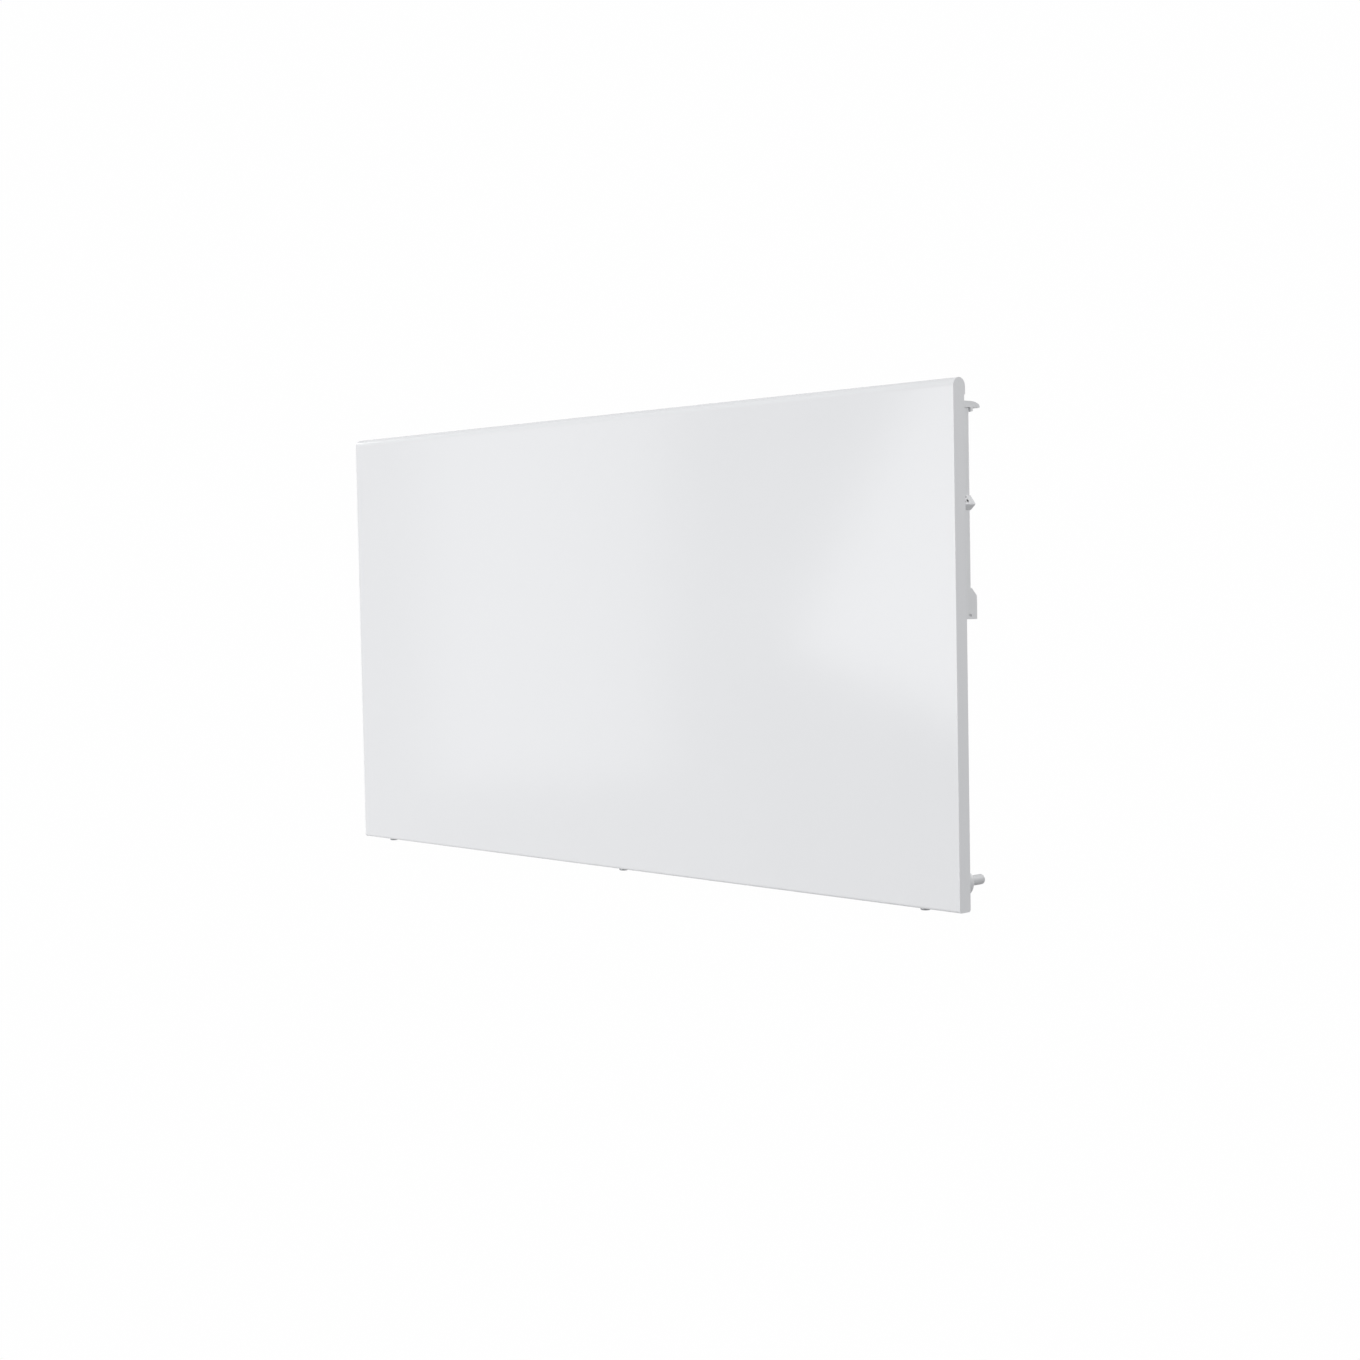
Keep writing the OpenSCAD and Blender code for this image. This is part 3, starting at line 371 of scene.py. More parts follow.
# %% Make the board and the window
def circuit_board():
    finish = Finish("circuit_board", {"IOR": 1.5})
    tracks = finish.node(
        "ShaderNodeTexBrick",
        {"offset": 0.35, "squash": 0.6, "squash_frequency": 3},
        {"Vector": finish.place, "Scale": 120.0, "Mortar Size": 0.06, "Mortar Smooth": 0.1},
        "Fac",
    )
    pads = 1 - finish.cells(240.0).between(0.16, 0.2)
    lacquer = finish.mix(tracks, rgba(0.012, 0.1, 0.045), rgba(0.03, 0.2, 0.08))
    finish.colour(finish.mix(pads, lacquer, rgba(0.55, 0.5, 0.4)))
    finish.roughness(0.3 + 0.1 * tracks)
    finish.bump(tracks + pads, 0.03, 0.6)


def polished(name, haze_scale, dark, light, gloss, haziness):
    finish = Finish(name, {"IOR": 1.49})
    haze = finish.noise(haze_scale)
    finish.colour(finish.mix(haze, dark, light))
    finish.roughness(gloss + haziness * haze)


circuit_board()
polished("window_glass", 60.0, rgba(0.008, 0.008, 0.01), rgba(0.014, 0.014, 0.017), 0.05, 0.05)
polished("display_ghost", 200.0, rgba(0.03, 0.03, 0.032), rgba(0.045, 0.045, 0.047), 0.25, 0.1)

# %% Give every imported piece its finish
SLOTS = {part["node"]: part["material_slot"] for part in frame["record"]["subparts"]}
for node, finish_name in SLOTS.items():
    for material_slot in frame["nodes"][node].material_slots:
        material_slot.material = FINISHES[finish_name]
print("finishes:", len(FINISHES))

# %% [markdown]
# ## Tools for modelling by hand
#
# Every new piece starts as a primitive at its real size and place. It is then shaped in edit mode,
# where an operator works on whatever is selected, so each step first picks its faces or edges by
# where they lie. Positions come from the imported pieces: local() counts from the front face and the
# lower edge of the panel in millimetres, as a drawing of the heater would.

# %% Measure from the panel
PANEL_LOW, PANEL_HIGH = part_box("front_panel")
HALF_W = PANEL_HIGH.x / MM
PANEL_H = (PANEL_HIGH.z - PANEL_LOW.z) / MM
ROLL_DEPTH = (PANEL_HIGH.y - PANEL_LOW.y) / MM


def local(x, y, z):
    """Point in millimetres from the panel's front face and lower edge, as a place in the frame."""
    return Vector((x * MM, PANEL_LOW.y + y * MM, PANEL_LOW.z + z * MM))


def in_local(place):
    """Place in the frame, as millimetres from the panel's front face and lower edge."""
    return Vector((place.x, place.y - PANEL_LOW.y, place.z - PANEL_LOW.z)) / MM


def local_box(node):
    """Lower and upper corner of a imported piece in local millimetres."""
    return [in_local(corner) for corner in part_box(node)]


def middle(part):
    """Middle of a face or an edge in local millimetres."""
    return in_local(sum([corner.co for corner in part.verts], Vector()) / len(part.verts))


print("panel:", round(2 * HALF_W), "by", round(PANEL_H), "by", round(ROLL_DEPTH, 1), "mm")

# %% [markdown]
# The next tools wrap Blender's own operators, so that a step below reads as what it does. A face
# counts as facing an axis when most of its normal, ALONG, lies on it, and places count as the
# same when they are CLOSE, in millimetres.

# %% Add and pick
ALONG = 0.9
CLOSE = 0.01


def edit():
    bpy.ops.object.mode_set(mode="EDIT")


def done():
    bpy.ops.object.mode_set(mode="OBJECT")


def pick(piece, kind, wanted):
    """Select the faces or edges that pass a test, in edit mode."""
    bpy.ops.mesh.select_mode(type=kind)
    bpy.ops.mesh.select_all(action="DESELECT")
    shape = bmesh.from_edit_mesh(piece.data)
    for part in {"FACE": shape.faces, "EDGE": shape.edges}[kind]:
        part.select_set(wanted(part))
    shape.select_flush_mode()
    bmesh.update_edit_mesh(piece.data)


def settled(name):
    """Name a new primitive and move its place into its mesh."""
    piece = bpy.context.object
    piece.name = name
    bpy.ops.object.transform_apply(location=True, rotation=True, scale=True)
    return piece


def block(name, low, high):
    """Cube primitive between two corners."""
    bpy.ops.object.select_all(action="DESELECT")
    bpy.ops.mesh.primitive_cube_add(size=1, location=(low + high) / 2)
    bpy.context.object.scale = high - low
    return settled(name)


def disc(name, centre, radius, depth, along="Z", sides=48):
    """Cylinder primitive of one radius along an axis."""
    turns = {"X": (0, QUARTER_TURN, 0), "Y": (-QUARTER_TURN, 0, 0), "Z": (0, 0, 0)}
    bpy.ops.object.select_all(action="DESELECT")
    bpy.ops.mesh.primitive_cylinder_add(
        vertices=sides, radius=radius * MM, depth=depth * MM, location=centre, rotation=turns[along]
    )
    return settled(name)


# %% Shape what is picked
def bevel(width, segments):
    bpy.ops.mesh.bevel(offset=width * MM, segments=segments, affect="EDGES", clamp_overlap=True)


def inset(width):
    bpy.ops.mesh.inset(thickness=width * MM)


def extrude(x, y, z):
    """Extrude the picked faces by a distance in millimetres."""
    bpy.ops.mesh.extrude_region_move(
        TRANSFORM_OT_translate={"value": (x * MM, y * MM, z * MM), "orient_type": "GLOBAL"}
    )


def resize(x, y, z, centre):
    bpy.ops.transform.resize(value=(x, y, z), center_override=centre, orient_type="GLOBAL")


# %% Finish a piece
ROUND_BELOW = 32


def only(piece):
    """Select one object alone and make it the active one."""
    bpy.ops.object.select_all(action="DESELECT")
    piece.select_set(True)
    bpy.context.view_layer.objects.active = piece


def modify(piece, kind, **settings):
    """Add a modifier and apply it."""
    only(piece)
    step = piece.modifiers.new(kind.lower(), kind)
    for name, value in settings.items():
        setattr(step, name, value)
    bpy.ops.object.modifier_apply(modifier=step.name)


def cut(piece, *tools):
    """Cut pieces out of another and remove the cutters."""
    for tool in tools:
        modify(piece, "BOOLEAN", operation="DIFFERENCE", object=tool, solver="EXACT")
        bpy.data.objects.remove(tool)


def smooth(piece):
    """Shade bends as round, keep corners crisp, and let large flats stay flat."""
    only(piece)
    bpy.ops.object.shade_smooth_by_angle(angle=math.radians(ROUND_BELOW))
    modify(piece, "WEIGHTED_NORMAL", mode="FACE_AREA", keep_sharp=True)


def fit_to(piece, body, slot, *nodes, finish=None):
    """Give a piece its finish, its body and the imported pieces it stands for."""
    piece.data.materials.clear()
    piece.data.materials.append(FINISHES[finish or slot])
    if nodes:
        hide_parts(*nodes)
    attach(piece, body)
    print(piece.name, "has", len(piece.data.polygons), "faces")
    return piece


# %% [markdown]
# ## The front panel
#
# The front is one steel sheet: flat in front, rolled over at the top, bent back 11 mm along the
# bottom and the sides. Building it flat and folding it would need every bend drawn twice. It is
# easier to model the outside as a closed block, round its edges by the bend radii, take away the
# back, and let Solidify give the remaining skin the sheet's thickness.

# %% Model the panel's outside
TRAY_DEPTH = 11.4
ROLL_DOWN = 11.5
ROLL_FOOT = PANEL_H - ROLL_DOWN
BEND_R = 2.0

panel = block("front_skin", local(-HALF_W, 0, 0), local(HALF_W, TRAY_DEPTH, PANEL_H))
edit()
bpy.ops.mesh.bisect(plane_co=local(0, 0, ROLL_FOOT), plane_no=(0, 0, 1))
pick(panel, "FACE", lambda f: f.normal.y > ALONG and middle(f).z > ROLL_FOOT)
extrude(0, ROLL_DEPTH - TRAY_DEPTH, 0)
bpy.ops.mesh.select_all(action="SELECT")
bpy.ops.mesh.dissolve_limited(angle_limit=math.radians(1))
pick(panel, "EDGE", lambda e: middle(e).z > PANEL_H - CLOSE and abs(middle(e).x) < CLOSE)
bevel(ROLL_DEPTH / 2 - CLOSE, segments=14)
pick(panel, "EDGE", lambda e: middle(e).z < CLOSE and middle(e).y < CLOSE)
bevel(BEND_R, segments=8)
print("outside has", len(bmesh.from_edit_mesh(panel.data).faces), "faces")

# %% [markdown]
# The side edges run from the lower corner up the front and over the roll, and get one small radius
# all the way. Only edges that lie on an end face and aren't at its open back are picked.

# %% Round the sides and open the back
EDGE_R = 1.3


def on_side_outline(edge):
    at = middle(edge)
    at_end = all(abs(abs(v.co.x) / MM - HALF_W) < CLOSE for v in edge.verts)
    behind = at.z < ROLL_FOOT + CLOSE and at.y > TRAY_DEPTH - CLOSE
    return at_end and not behind


pick(panel, "EDGE", on_side_outline)
bevel(EDGE_R, segments=5)
pick(panel, "FACE", lambda f: f.normal.y > ALONG and middle(f).z < ROLL_FOOT)
bpy.ops.mesh.delete(type="FACE")
pick(panel, "FACE", lambda f: f.normal.z < -ALONG and middle(f).y > TRAY_DEPTH - CLOSE)
bpy.ops.mesh.delete(type="FACE")
print("open skin has", len(bmesh.from_edit_mesh(panel.data).faces), "faces")

# %% [markdown]
# The flange's lower rear corner is rounded as a shear would leave it. A few flat cuts that touch
# the corner's circle do that; they are made on the end faces alone, while the skin has no thickness
# yet.

# %% Round the flange corners and give the skin its thickness
SHEET = 1.0
CORNER_R = 2.0
CORNER_CUTS = 5

for number in range(CORNER_CUTS):
    lean = QUARTER_TURN * (number + 0.5) / CORNER_CUTS
    outward = Vector((0, math.cos(lean), -math.sin(lean)))
    touch = local(0, TRAY_DEPTH - CORNER_R, CORNER_R) + outward * CORNER_R * MM
    pick(panel, "FACE", lambda f: abs(middle(f).x) > HALF_W - EDGE_R and middle(f).y > EDGE_R)
    bpy.ops.mesh.bisect(plane_co=touch, plane_no=outward, clear_outer=True)
done()
modify(
    panel, "SOLIDIFY", thickness=SHEET * MM, offset=-1, use_even_offset=True,
    use_quality_normals=True,
)
print("sheet has", len(panel.data.polygons), "faces")

# %% [markdown]
# Three screws hold the casing in the lower flange, so the flange needs their holes.

# %% Drill the screw holes
HEAD_R = 3.7
HOLE_R = 2.15

low, high = local_box("panel_screws")
screw_y = (low.y + high.y) / 2
panel_screw_spots = [local(x, screw_y, 0) for x in (HEAD_R - high.x, 0, high.x - HEAD_R)]
cut(panel, *[disc("drill", spot, HOLE_R, 4 * SHEET) for spot in panel_screw_spots])
smooth(panel)
fit_to(panel, "heater", "white_enamel", "front_panel")

# %% [markdown]
# ## The screws
#
# A pan-head screw is a disc with a rounded rim, a cross recess and a threaded shank. One is
# modelled at the origin, pointing up, and every screw is a copy with its own mesh. The recess is
# cut with a punch that starts as a cube, grows four arms and tapers, which is how the real tool
# looks. A turn of thread is four steps along the shank, each with the scale of its end.

# %% Model the cross punch and one screw
HEAD_H = 1.6
HEAD_ROUND = 0.9
RECESS_DEPTH = 1.0
RECESS_TAPER = 0.55
CORE = 1.0
ARM_HALF_W = 0.45
ARM_REACH = 1.6
SHANK_R = 1.9
ROOT = 0.8
THREAD = ((0.3, ROOT), (0.25, 1), (0.3, 1 / ROOT), (0.25, 1))
THREAD_PITCH = 1.1
THREAD_SHORT = 1.5
POINT_L = 0.8
POINT_TAPER = 0.6


def cross_punch():
    size = Vector((ARM_HALF_W, ARM_HALF_W, RECESS_DEPTH)) * MM
    punch = block("punch", -size, size)
    edit()
    for x, y in ((1, 0), (-1, 0), (0, 1), (0, -1)):
        out = Vector((x, y, 0))
        pick(
            punch, "FACE",
            lambda f: f.normal.dot(out) > ALONG and f.calc_center_median().length < CORE * MM,
        )
        extrude(x * ARM_REACH, y * ARM_REACH, 0)
    pick(punch, "FACE", lambda f: f.normal.z > ALONG)
    resize(RECESS_TAPER, RECESS_TAPER, 1, (0, 0, 0))
    done()
    return punch


def pan_head_screw(length):
    """Screw that points along +z with the underside of its head at the origin."""
    screw = disc("screw", Vector((0, 0, -HEAD_H / 2 * MM)), HEAD_R, HEAD_H)
    edit()
    pick(screw, "EDGE", lambda e: all(v.co.z < (CLOSE - HEAD_H) * MM for v in e.verts))
    bevel(HEAD_ROUND, segments=5)
    pick(screw, "FACE", lambda f: f.normal.z > ALONG)
    inset(HEAD_R - SHANK_R)
    for _ in range(int((length - THREAD_SHORT) / THREAD_PITCH)):
        for step, scale in THREAD:
            extrude(0, 0, step)
            resize(scale, scale, 1, (0, 0, 0))
    extrude(0, 0, POINT_L)
    resize(POINT_TAPER, POINT_TAPER, 1, (0, 0, 0))
    done()
    punch = cross_punch()
    punch.location = (0, 0, -HEAD_H * MM)
    cut(screw, punch)
    smooth(screw)
    return screw


# %% Put the screws in place
def moved_copy(piece, name, place, turn=Matrix()):
    """Copy with its own mesh, turned about the origin and then moved."""
    copy = bpy.data.objects.new(name, piece.data.copy())
    bpy.context.scene.collection.objects.link(copy)
    copy.data.transform(Matrix.Translation(place) @ turn)
    return copy


def fasten(name, node, length, spots, turn=Matrix()):
    """Put a copy of one screw at each spot."""
    screw = pan_head_screw(length)
    for number, spot in enumerate(spots):
        placed = moved_copy(screw, f"{name}_{number}", spot, turn)
        fit_to(placed, "heater", "screw_steel", node)
    bpy.data.objects.remove(screw)


fasten("panel_screw", "panel_screws", 6, panel_screw_spots)
low, high = local_box("box_screws")
box_screw_spots = [
    local(x, low.y + HEAD_H, z)
    for z in (low.z + HEAD_R, high.z - HEAD_R)
    for x in (low.x + HEAD_R, high.x - HEAD_R)
]
fasten("box_screw", "box_screws", 14, box_screw_spots, Matrix.Rotation(-QUARTER_TURN, 4, "X"))

# %% [markdown]
# ## The wall spacers
#
# Two plastic pegs snap into the lower rear of the casing and keep it parallel to the wall. A turned
# shape like this one is a disc whose end face is extruded and scaled ring by ring, from the seat to
# the peg, and back through the sheet for the snap end. Each ring is a distance and a radius.

# %% Model one spacer and place both
CASE_DEPTH = 51.5
PEG_R = 3.8
PEG_ROUND = 1.78
SEAT_BASE = 0.8

low, high = local_box("wall_spacer_right")
SEAT_R = (high.x - low.x) / 2
SHOULDER = [
    (3.4, SEAT_R - 0.3), (0.7, SEAT_R - 0.7), (0.5, SEAT_R - 1.5),
    (0.6, PEG_R + 1.4), (0.6, PEG_R + 0.5), (0.8, PEG_R),
]
STRAIGHT = high.y - CASE_DEPTH - SEAT_BASE - sum(distance for distance, radius in SHOULDER)
SNAP_END = [(0.85, PEG_R), (0.15, PEG_R + 0.3), (0.4, PEG_R + 0.3), (1.0, 2.9)]
PEG_END = local(0, high.y - CLOSE, 0).y
spacer_x = (low.x + high.x) / 2
spacer_z = (low.z + high.z) / 2


def turned_rings(direction, axis_point, radius, rings):
    """Extrude the picked end face ring by ring."""
    for distance, next_radius in rings:
        extrude(0, direction * distance, 0)
        scale = next_radius / radius
        resize(scale, 1, scale, axis_point)
        radius = next_radius


def wall_spacer(name, node, x):
    axis = local(x, CASE_DEPTH, spacer_z)
    base = local(x, CASE_DEPTH + SEAT_BASE / 2, spacer_z)
    spacer = disc(name, base, SEAT_R, SEAT_BASE, "Y")
    edit()
    pick(spacer, "FACE", lambda f: f.normal.y > ALONG)
    turned_rings(1, axis, SEAT_R, SHOULDER + [(STRAIGHT, PEG_R)])
    pick(spacer, "EDGE", lambda e: all(v.co.y > PEG_END for v in e.verts))
    bevel(PEG_ROUND, segments=7)
    pick(spacer, "FACE", lambda f: f.normal.y < -ALONG)
    inset(SEAT_R - PEG_R)
    turned_rings(-1, axis, PEG_R, SNAP_END)
    done()
    smooth(spacer)
    fit_to(spacer, "heater", "spacer_plastic", node)


wall_spacer("spacer_right", "wall_spacer_right", spacer_x)
wall_spacer("spacer_left", "wall_spacer_left", -spacer_x)

# %% [markdown]
# ## The keys
#
# Each key is a cap with bevelled sides and a shallow dish for the fingertip, a flange that keeps it
# under the lid, and a stem. All of it grows from one block: the top face is inset and extruded
# upwards, the bottom face downwards. The three differ only in the mark on top.

# %% Model the three keys
CAP_RISE = 3.35
CAP_EDGE = 0.8
CAP_ROUND = 0.22
FLANGE_W = 0.9
FLANGE_T = 0.9
RIM_W = 0.5
DISH_SLOPE = 0.7
DISH = 0.12
STEM_HALF_W = 1.6


def break_edges(piece, width, segments, degrees, **settings):
    """Bevel every edge that turns by more than some degrees."""
    settings.update(limit_method="ANGLE", angle_limit=math.radians(degrees))
    modify(piece, "BEVEL", width=width * MM, segments=segments, **settings)


def key_cap(node):
    low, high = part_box(node)
    flange_top = high.z - CAP_RISE * MM
    cap = block(
        node.replace("key_", "cap_"),
        Vector((low.x, low.y, flange_top - FLANGE_T * MM)),
        Vector((high.x, high.y, flange_top)),
    )
    edit()
    pick(cap, "FACE", lambda f: f.normal.z > ALONG)
    inset(FLANGE_W)
    extrude(0, 0, CAP_RISE - CAP_EDGE)
    extrude(0, 0, CAP_EDGE)
    width, depth = [(high[i] - low[i]) / MM - 2 * FLANGE_W for i in (0, 1)]
    resize(1 - 2 * CAP_EDGE / width, 1 - 2 * CAP_EDGE / depth, 1, (low + high) / 2)
    inset(RIM_W)
    inset(DISH_SLOPE)
    bpy.ops.transform.translate(value=(0, 0, -DISH * MM))
    pick(cap, "FACE", lambda f: f.normal.z < -ALONG)
    inset(width / 2 + FLANGE_W - STEM_HALF_W)
    extrude(0, 0, (low.z - flange_top) / MM + FLANGE_T)
    done()
    break_edges(cap, CAP_ROUND, 3, 38)
    smooth(cap)
    fit_to(cap, node, "key_plastic", node)


for node in ("key_minus", "key_plus", "key_power"):
    key_cap(node)

# %% [markdown]
# The marks are printed ink: thin plates that lie in the dish. Minus and plus are bars, and the mark
# for on and off is an open ring with a bar in its gap, cut from a flat tube. A bar's corners are
# rounded, or cut to a point, by a share of its width.

# %% Print the marks
INK = 0.02
BAR_L = 3.2
BAR_W = 0.55


def upright(edge):
    """Whether an edge runs along z."""
    return abs((edge.verts[0].co - edge.verts[1].co).normalized().z) > ALONG


def ink_bar(name, centre, width, depth, thick=2 * INK, corner=0.3, segments=3):
    half = Vector((width, depth, thick)) / 2 * MM
    bar = block(name, centre - half, centre + half)
    edit()
    pick(bar, "EDGE", upright)
    bevel(min(width, depth) * corner, segments)
    done()
    return bar


def ink_ring(name, centre, outer, inner, gap=0.0):
    ring = disc(name, centre, outer, 2 * INK)
    tools = [disc("ring_bore", centre, inner, 6 * INK)]
    if gap:
        half = Vector((gap / 2, outer, 4 * INK)) * MM
        reach = Vector((0, outer * MM, 0))
        tools.append(block("ring_gap", centre - half + reach, centre + half + reach))
    cut(ring, *tools)
    return ring


def join(first, *others):
    """Join pieces of one print into one object."""
    only(first)
    for other in others:
        other.select_set(True)
    bpy.ops.object.join()
    return first


def dish_of(node):
    low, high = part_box(node)
    return Vector(((low.x + high.x) / 2, (low.y + high.y) / 2, high.z - DISH * MM))


minus_mark = ink_bar("mark_minus", dish_of("key_minus"), BAR_L, BAR_W)
plus_mark = join(
    ink_bar("mark_plus", dish_of("key_plus"), BAR_L, BAR_W),
    ink_bar("plus_upright", dish_of("key_plus"), BAR_W, BAR_L),
)
power_mark = join(
    ink_ring("mark_power", dish_of("key_power"), 1.7, 1.25, gap=1.5),
    ink_bar("power_bar", dish_of("key_power") + Vector((0, 1.1, 0)) * MM, 0.45, 1.6),
)
for mark, body in ((minus_mark, "key_minus"), (plus_mark, "key_plus"), (power_mark, "key_power")):
    fit_to(mark, body, "black_plastic")

# %% [markdown]
# ## The display window
#
# A smoked window covers the display. Its rim has a fine bevel, and when the display is off, the
# shapes of its two figures are just visible. One bar with pointed ends makes all fourteen segments.

# %% Model the window
GLASS_CORNER = 0.6
GLASS_RIM = 0.25

low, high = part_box("display_window")
glass = block("smoked_window", low, high)
edit()
pick(glass, "EDGE", upright)
bevel(GLASS_CORNER, segments=4)
pick(glass, "EDGE", lambda e: all(v.co.z > high.z - CLOSE * MM for v in e.verts))
bevel(GLASS_RIM, segments=3)
done()
smooth(glass)
fit_to(glass, "heater", "window_glass", "display_window")
glass_top = Vector(((low.x + high.x) / 2, (low.y + high.y) / 2, high.z))

# %% Print the unlit figures
SEGMENT_L = 3.2
SEGMENT_W = 0.6
SEGMENT_GAP = 0.25
SEGMENT_POINT = 0.45
FIGURE_X = 2.8
DEGREE_AT = Vector((6.2, 2.9, 0))


def figure(name, centre):
    """Three bars across and four upright."""
    step = SEGMENT_L + SEGMENT_GAP
    across = [(0, k * step, SEGMENT_L, SEGMENT_W) for k in (-1, 0, 1)]
    tall = [(i * step / 2, k * step / 2, SEGMENT_W, SEGMENT_L) for i in (-1, 1) for k in (-1, 1)]
    bars = []
    for x, y, width, depth in across + tall:
        at = centre + Vector((x, y, 0)) * MM
        bars.append(ink_bar(name, at, width, depth, INK, SEGMENT_POINT, 1))
    return join(*bars)


ghosts = join(
    figure("display_figures", glass_top - Vector((FIGURE_X, 0, 0)) * MM),
    figure("right_figure", glass_top + Vector((FIGURE_X, 0, 0)) * MM),
    ink_ring("degree_ring", glass_top + DEGREE_AT * MM, 0.75, 0.45),
)
fit_to(ghosts, "heater", "window_glass", finish="display_ghost")

# %% [markdown]
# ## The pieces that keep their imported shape
#
# The casing, the bracket, the thermostat box and the inner parts already have the right form, but
# their edges are perfectly sharp, which no pressed or moulded piece has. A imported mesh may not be
# changed, so each gets a copy: its loose triangles are merged, flat areas are joined to one face,
# and a narrow bevel breaks the edges. The width of the bevel is the burr radius of sheet steel, or
# the small round that a mould gives. The casing's slotted faces have too many holes to be one face
# each, so they keep their triangles.

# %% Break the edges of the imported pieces
ROUNDED = {
    0.12: (
        "display_board", "main_board", "heat_shield", "ceramic_bushes", "bracket_rivets",
        "sensor_cover",
    ),
    0.18: ("rear_casing", "element_bracket_left", "element_bracket_right", "key_switches"),
    0.25: ("wall_bracket", "element_profile", "terminal_block", "wire_grommet", "element_rod"),
    0.3: ("control_base", "switch_frame", "cable_bush", "thermal_cutout", "display_module"),
    0.35: ("control_lid", "switch_rocker", "relay"),
    0.4: ("control_housing",),
    1.2: ("power_module",),
}
MANY_HOLES = ("rear_casing",)
SAME_POINT = 2e-6
FLAT_WITHIN = 0.4


def finished_copy(node, width):
    """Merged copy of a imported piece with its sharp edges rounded."""
    source = frame["nodes"][node]
    piece = moved_copy(source, node + "_finished", Vector())
    only(piece)
    edit()
    bpy.ops.mesh.select_all(action="SELECT")
    bpy.ops.mesh.remove_doubles(threshold=SAME_POINT)
    if node not in MANY_HOLES:
        bpy.ops.mesh.dissolve_limited(angle_limit=math.radians(FLAT_WITHIN))
    done()
    break_edges(piece, width, 2, 40, use_clamp_overlap=True, miter_outer="MITER_ARC")
    smooth(piece)
    return fit_to(piece, source["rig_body"], SLOTS[node], node)


finished = {}
for width, nodes in ROUNDED.items():
    for node in nodes:
        finished[node] = finished_copy(node, width)

# %% [markdown]
# ## The vents over the room sensor
#
# Room air reaches the sensor through four vents in the upper slope of the small cover on the box's
# side. Their mouths are wider than the holes behind them, which is what makes them show as dark
# dots from a step away. The mouths are plain drills, pushed straight in from the side. Their rows
# are given as shares of the slope, from the box out to the cover's crest.

# %% Widen the mouths of the vents
VENT_R = 1.2
VENT_DEPTH = 3.4
VENT_PITCH = 3.2
VENT_ROWS = (0.19, 0.65)
CREST = 0.39

low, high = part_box("sensor_cover")
box_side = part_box("control_housing")[1].x
cover_out = high.x - box_side
crest_drop = (high.z - low.z) * (1 - CREST)
drills = []
for down in VENT_ROWS:
    for side in (-1, 1):
        across = (low.y + high.y) / 2 + side * VENT_PITCH / 2 * MM
        mouth = Vector((box_side + cover_out * down, across, high.z - crest_drop * down))
        drills.append(disc("vent_drill", mouth, VENT_R, VENT_DEPTH, "X", 24))
cut(finished["sensor_cover"], *drills)
smooth(finished["sensor_cover"])
print("vents:", len(drills), "on a cover that stands out", round(cover_out / MM, 1), "mm")

# %% [markdown]
# ## The marks on the mains rocker
#
# The rocker's two flats meet in a valley. When it is off, one flat lies level with its frame and
# the other stands out at twice the tilt. A bar on one flat stands for on, and a ring on the other
# for off; each is made flat and then turned onto its own side.

# %% Print the rocker's marks
ROCKER_TILT = math.radians(10)
VALLEY_DROP = 2.2
MARK_OUT = 4.6

joints = {joint["name"]: joint for joint in frame["record"]["behaviour"]["joints"]}
pivot = Vector(joints["mains_rocker"]["pos_m"])
valley = pivot - Vector((math.sin(ROCKER_TILT), 0, math.cos(ROCKER_TILT))) * VALLEY_DROP * MM


def on_rocker(mark, side):
    """Turn a flat mark onto one side of the rocker, which lies under its pivot."""
    slope = ROCKER_TILT * (1 + side)
    along = Vector((math.cos(slope), 0, -math.sin(slope))) * side * MARK_OUT * MM
    mark.data.transform(Matrix.Translation(valley + along) @ Matrix.Rotation(slope, 4, "Y"))
    fit_to(mark, "switch_rocker", "box_plastic")


on_rocker(ink_bar("mark_on", Vector(), 0.7, 3.6), 1)
on_rocker(ink_ring("mark_off", Vector(), 1.9, 1.35), -1)

# %% [markdown]
# ## Floor and background
#
# The heater is shown as if hung above a pale floor in front of a white background. The background
# is the world: it looks white to the camera and in reflections, but it lights the pieces at half
# that level. The floor is an ordinary pale surface under the heater, so it keeps the shadow, and it
# changes to the background's white further out, where a horizon would otherwise show. As a light it
# is darker than it looks, so that it doesn't fill the shade under the heater.

# %% Build the floor
WHITE = 0.995
FLOOR_BELOW = 0.96
FLOOR_HALF = 30.0
FADE_FROM = 0.55
FADE_TO = 1.5


def seen_directly(graph):
    """1 for rays from the camera, from a reflection or through glass, and 0 for light."""
    rays = ("Is Camera Ray", "Is Glossy Ray", "Is Transmission Ray")
    camera_ray, glossy, through = [graph.node("ShaderNodeLightPath", {}, {}, ray) for ray in rays]
    return camera_ray.either(glossy).either(through)


def pale_floor():
    finish = Finish("pale_floor", {"Roughness": 0.9, "Specular IOR Level": 0.1})
    grain = finish.noise(3.0, detail=3.0)
    pale = finish.mix(grain, rgba(0.78, 0.78, 0.785), rgba(0.82, 0.82, 0.825))
    direct = seen_directly(finish)
    finish.colour(finish.mix(direct, rgba(0.25, 0.25, 0.255), pale))
    away = finish.node("ShaderNodeVectorMath", {"operation": "LENGTH"}, {0: finish.place}, "Value")
    faded = away.between(FADE_FROM, FADE_TO) * direct
    surface = Wire(finish, finish.shader.outputs[0])
    glow = finish.node("ShaderNodeEmission", {}, {"Strength": WHITE})
    blend = finish.node("ShaderNodeMixShader", {}, {0: faded, 1: surface, 2: glow})
    finish.fill(finish.tree.nodes["Material Output"], {"Surface": blend})


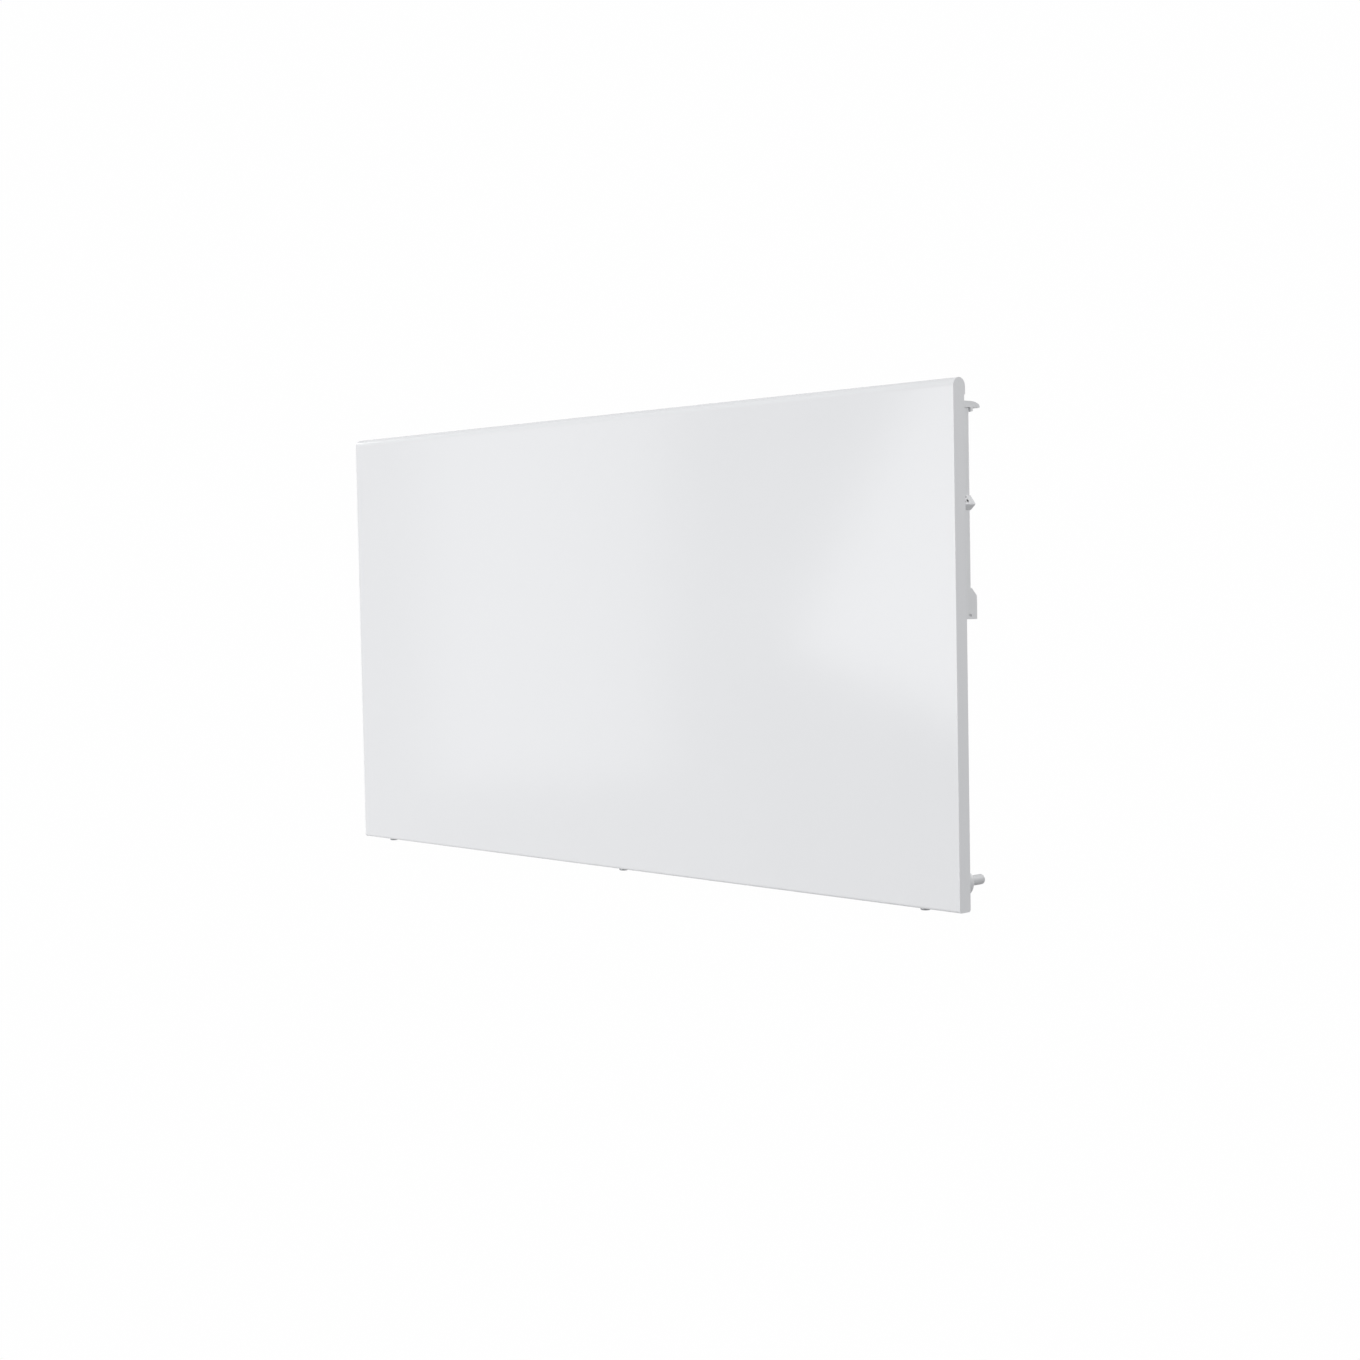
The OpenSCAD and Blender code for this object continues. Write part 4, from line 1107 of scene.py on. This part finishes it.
bpy.ops.object.select_all(action="DESELECT")
bpy.ops.mesh.primitive_plane_add(size=2 * FLOOR_HALF, location=(0, 0, CAD_BOX[0].z - FLOOR_BELOW))
floor = bpy.context.object
floor.name = "floor"
pale_floor()
floor.data.materials.append(FINISHES["pale_floor"])
print("floor lies", FLOOR_BELOW, "m under the heater")

# %% Make the world
WORLD_LIGHT = 0.5

world = bpy.data.worlds.new("white_studio")
bpy.context.scene.world = world
world.use_nodes = True
studio = Graph(world.node_tree)
dimmer = studio.tree.nodes["Background"]
studio.fill(dimmer, {"Color": rgba(0.97, 0.98, 1.0), "Strength": WORLD_LIGHT})
unseen = Wire(studio, dimmer.outputs[0])
seen = studio.node("ShaderNodeBackground", {}, {"Color": rgba(1.0, 1.0, 1.0), "Strength": WHITE})
blend = studio.node("ShaderNodeMixShader", {}, {0: seen_directly(studio), 1: unseen, 2: seen})
studio.fill(studio.tree.nodes["World Output"], {"Surface": blend})
print("world shows", WHITE, "and lights at", WORLD_LIGHT)

# %% [markdown]
# ## The lamps
#
# Large area lamps give the soft light. Seen from the camera, the enamel mirrors two of them, which
# stand far to the left: they are the wide bright patches on the front, and one leans because its
# patch does. Two more light the front as a whole, one stands at each end, and one lights the rear.

# %% Hang the lamps
def softbox(name, place, target, width, height, watts, lean=0.0):
    """Rectangular area lamp that faces a target point and leans sideways by some degrees."""
    light = bpy.data.lights.new(name, "AREA")
    light.shape = "RECTANGLE"
    light.size = width
    light.size_y = height
    light.energy = watts
    lamp = bpy.data.objects.new(name, light)
    bpy.context.scene.collection.objects.link(lamp)
    lamp.location = place
    facing = (Vector(target) - Vector(place)).to_track_quat("-Z", "Y")
    lamp.rotation_euler = (facing @ Quaternion((0, 0, 1), math.radians(lean))).to_euler()


softbox("patch_lamp_right", (-1.6, -2.6, 0.2), (0.3, 0, 0.05), 0.62, 0.98, 4.1, lean=-26)
softbox("patch_lamp_left", (-3.2, -2.6, 0.1), (-0.1, 0, 0), 0.65, 1.2, 2.0)
softbox("left_front_lamp", (-0.85, -2.9, -0.45), (-0.1, 0, 0), 1.3, 1.2, 27.5)
softbox("right_front_lamp", (0.25, -2.8, 0.6), (0, 0, 0), 1.6, 1.6, 23)
softbox("side_lamp_right", (2.3, -0.2, 0.8), (0.3, 0, 0), 1.0, 1.0, 13.5)
softbox("side_lamp_left", (-2.3, -0.2, 0.8), (-0.3, 0, 0), 1.0, 1.0, 13.5)
softbox("rear_lamp", (0.4, 2.8, 0.9), (0, 0, 0), 1.8, 1.4, 30)
print("lamps:", len(bpy.data.lights))
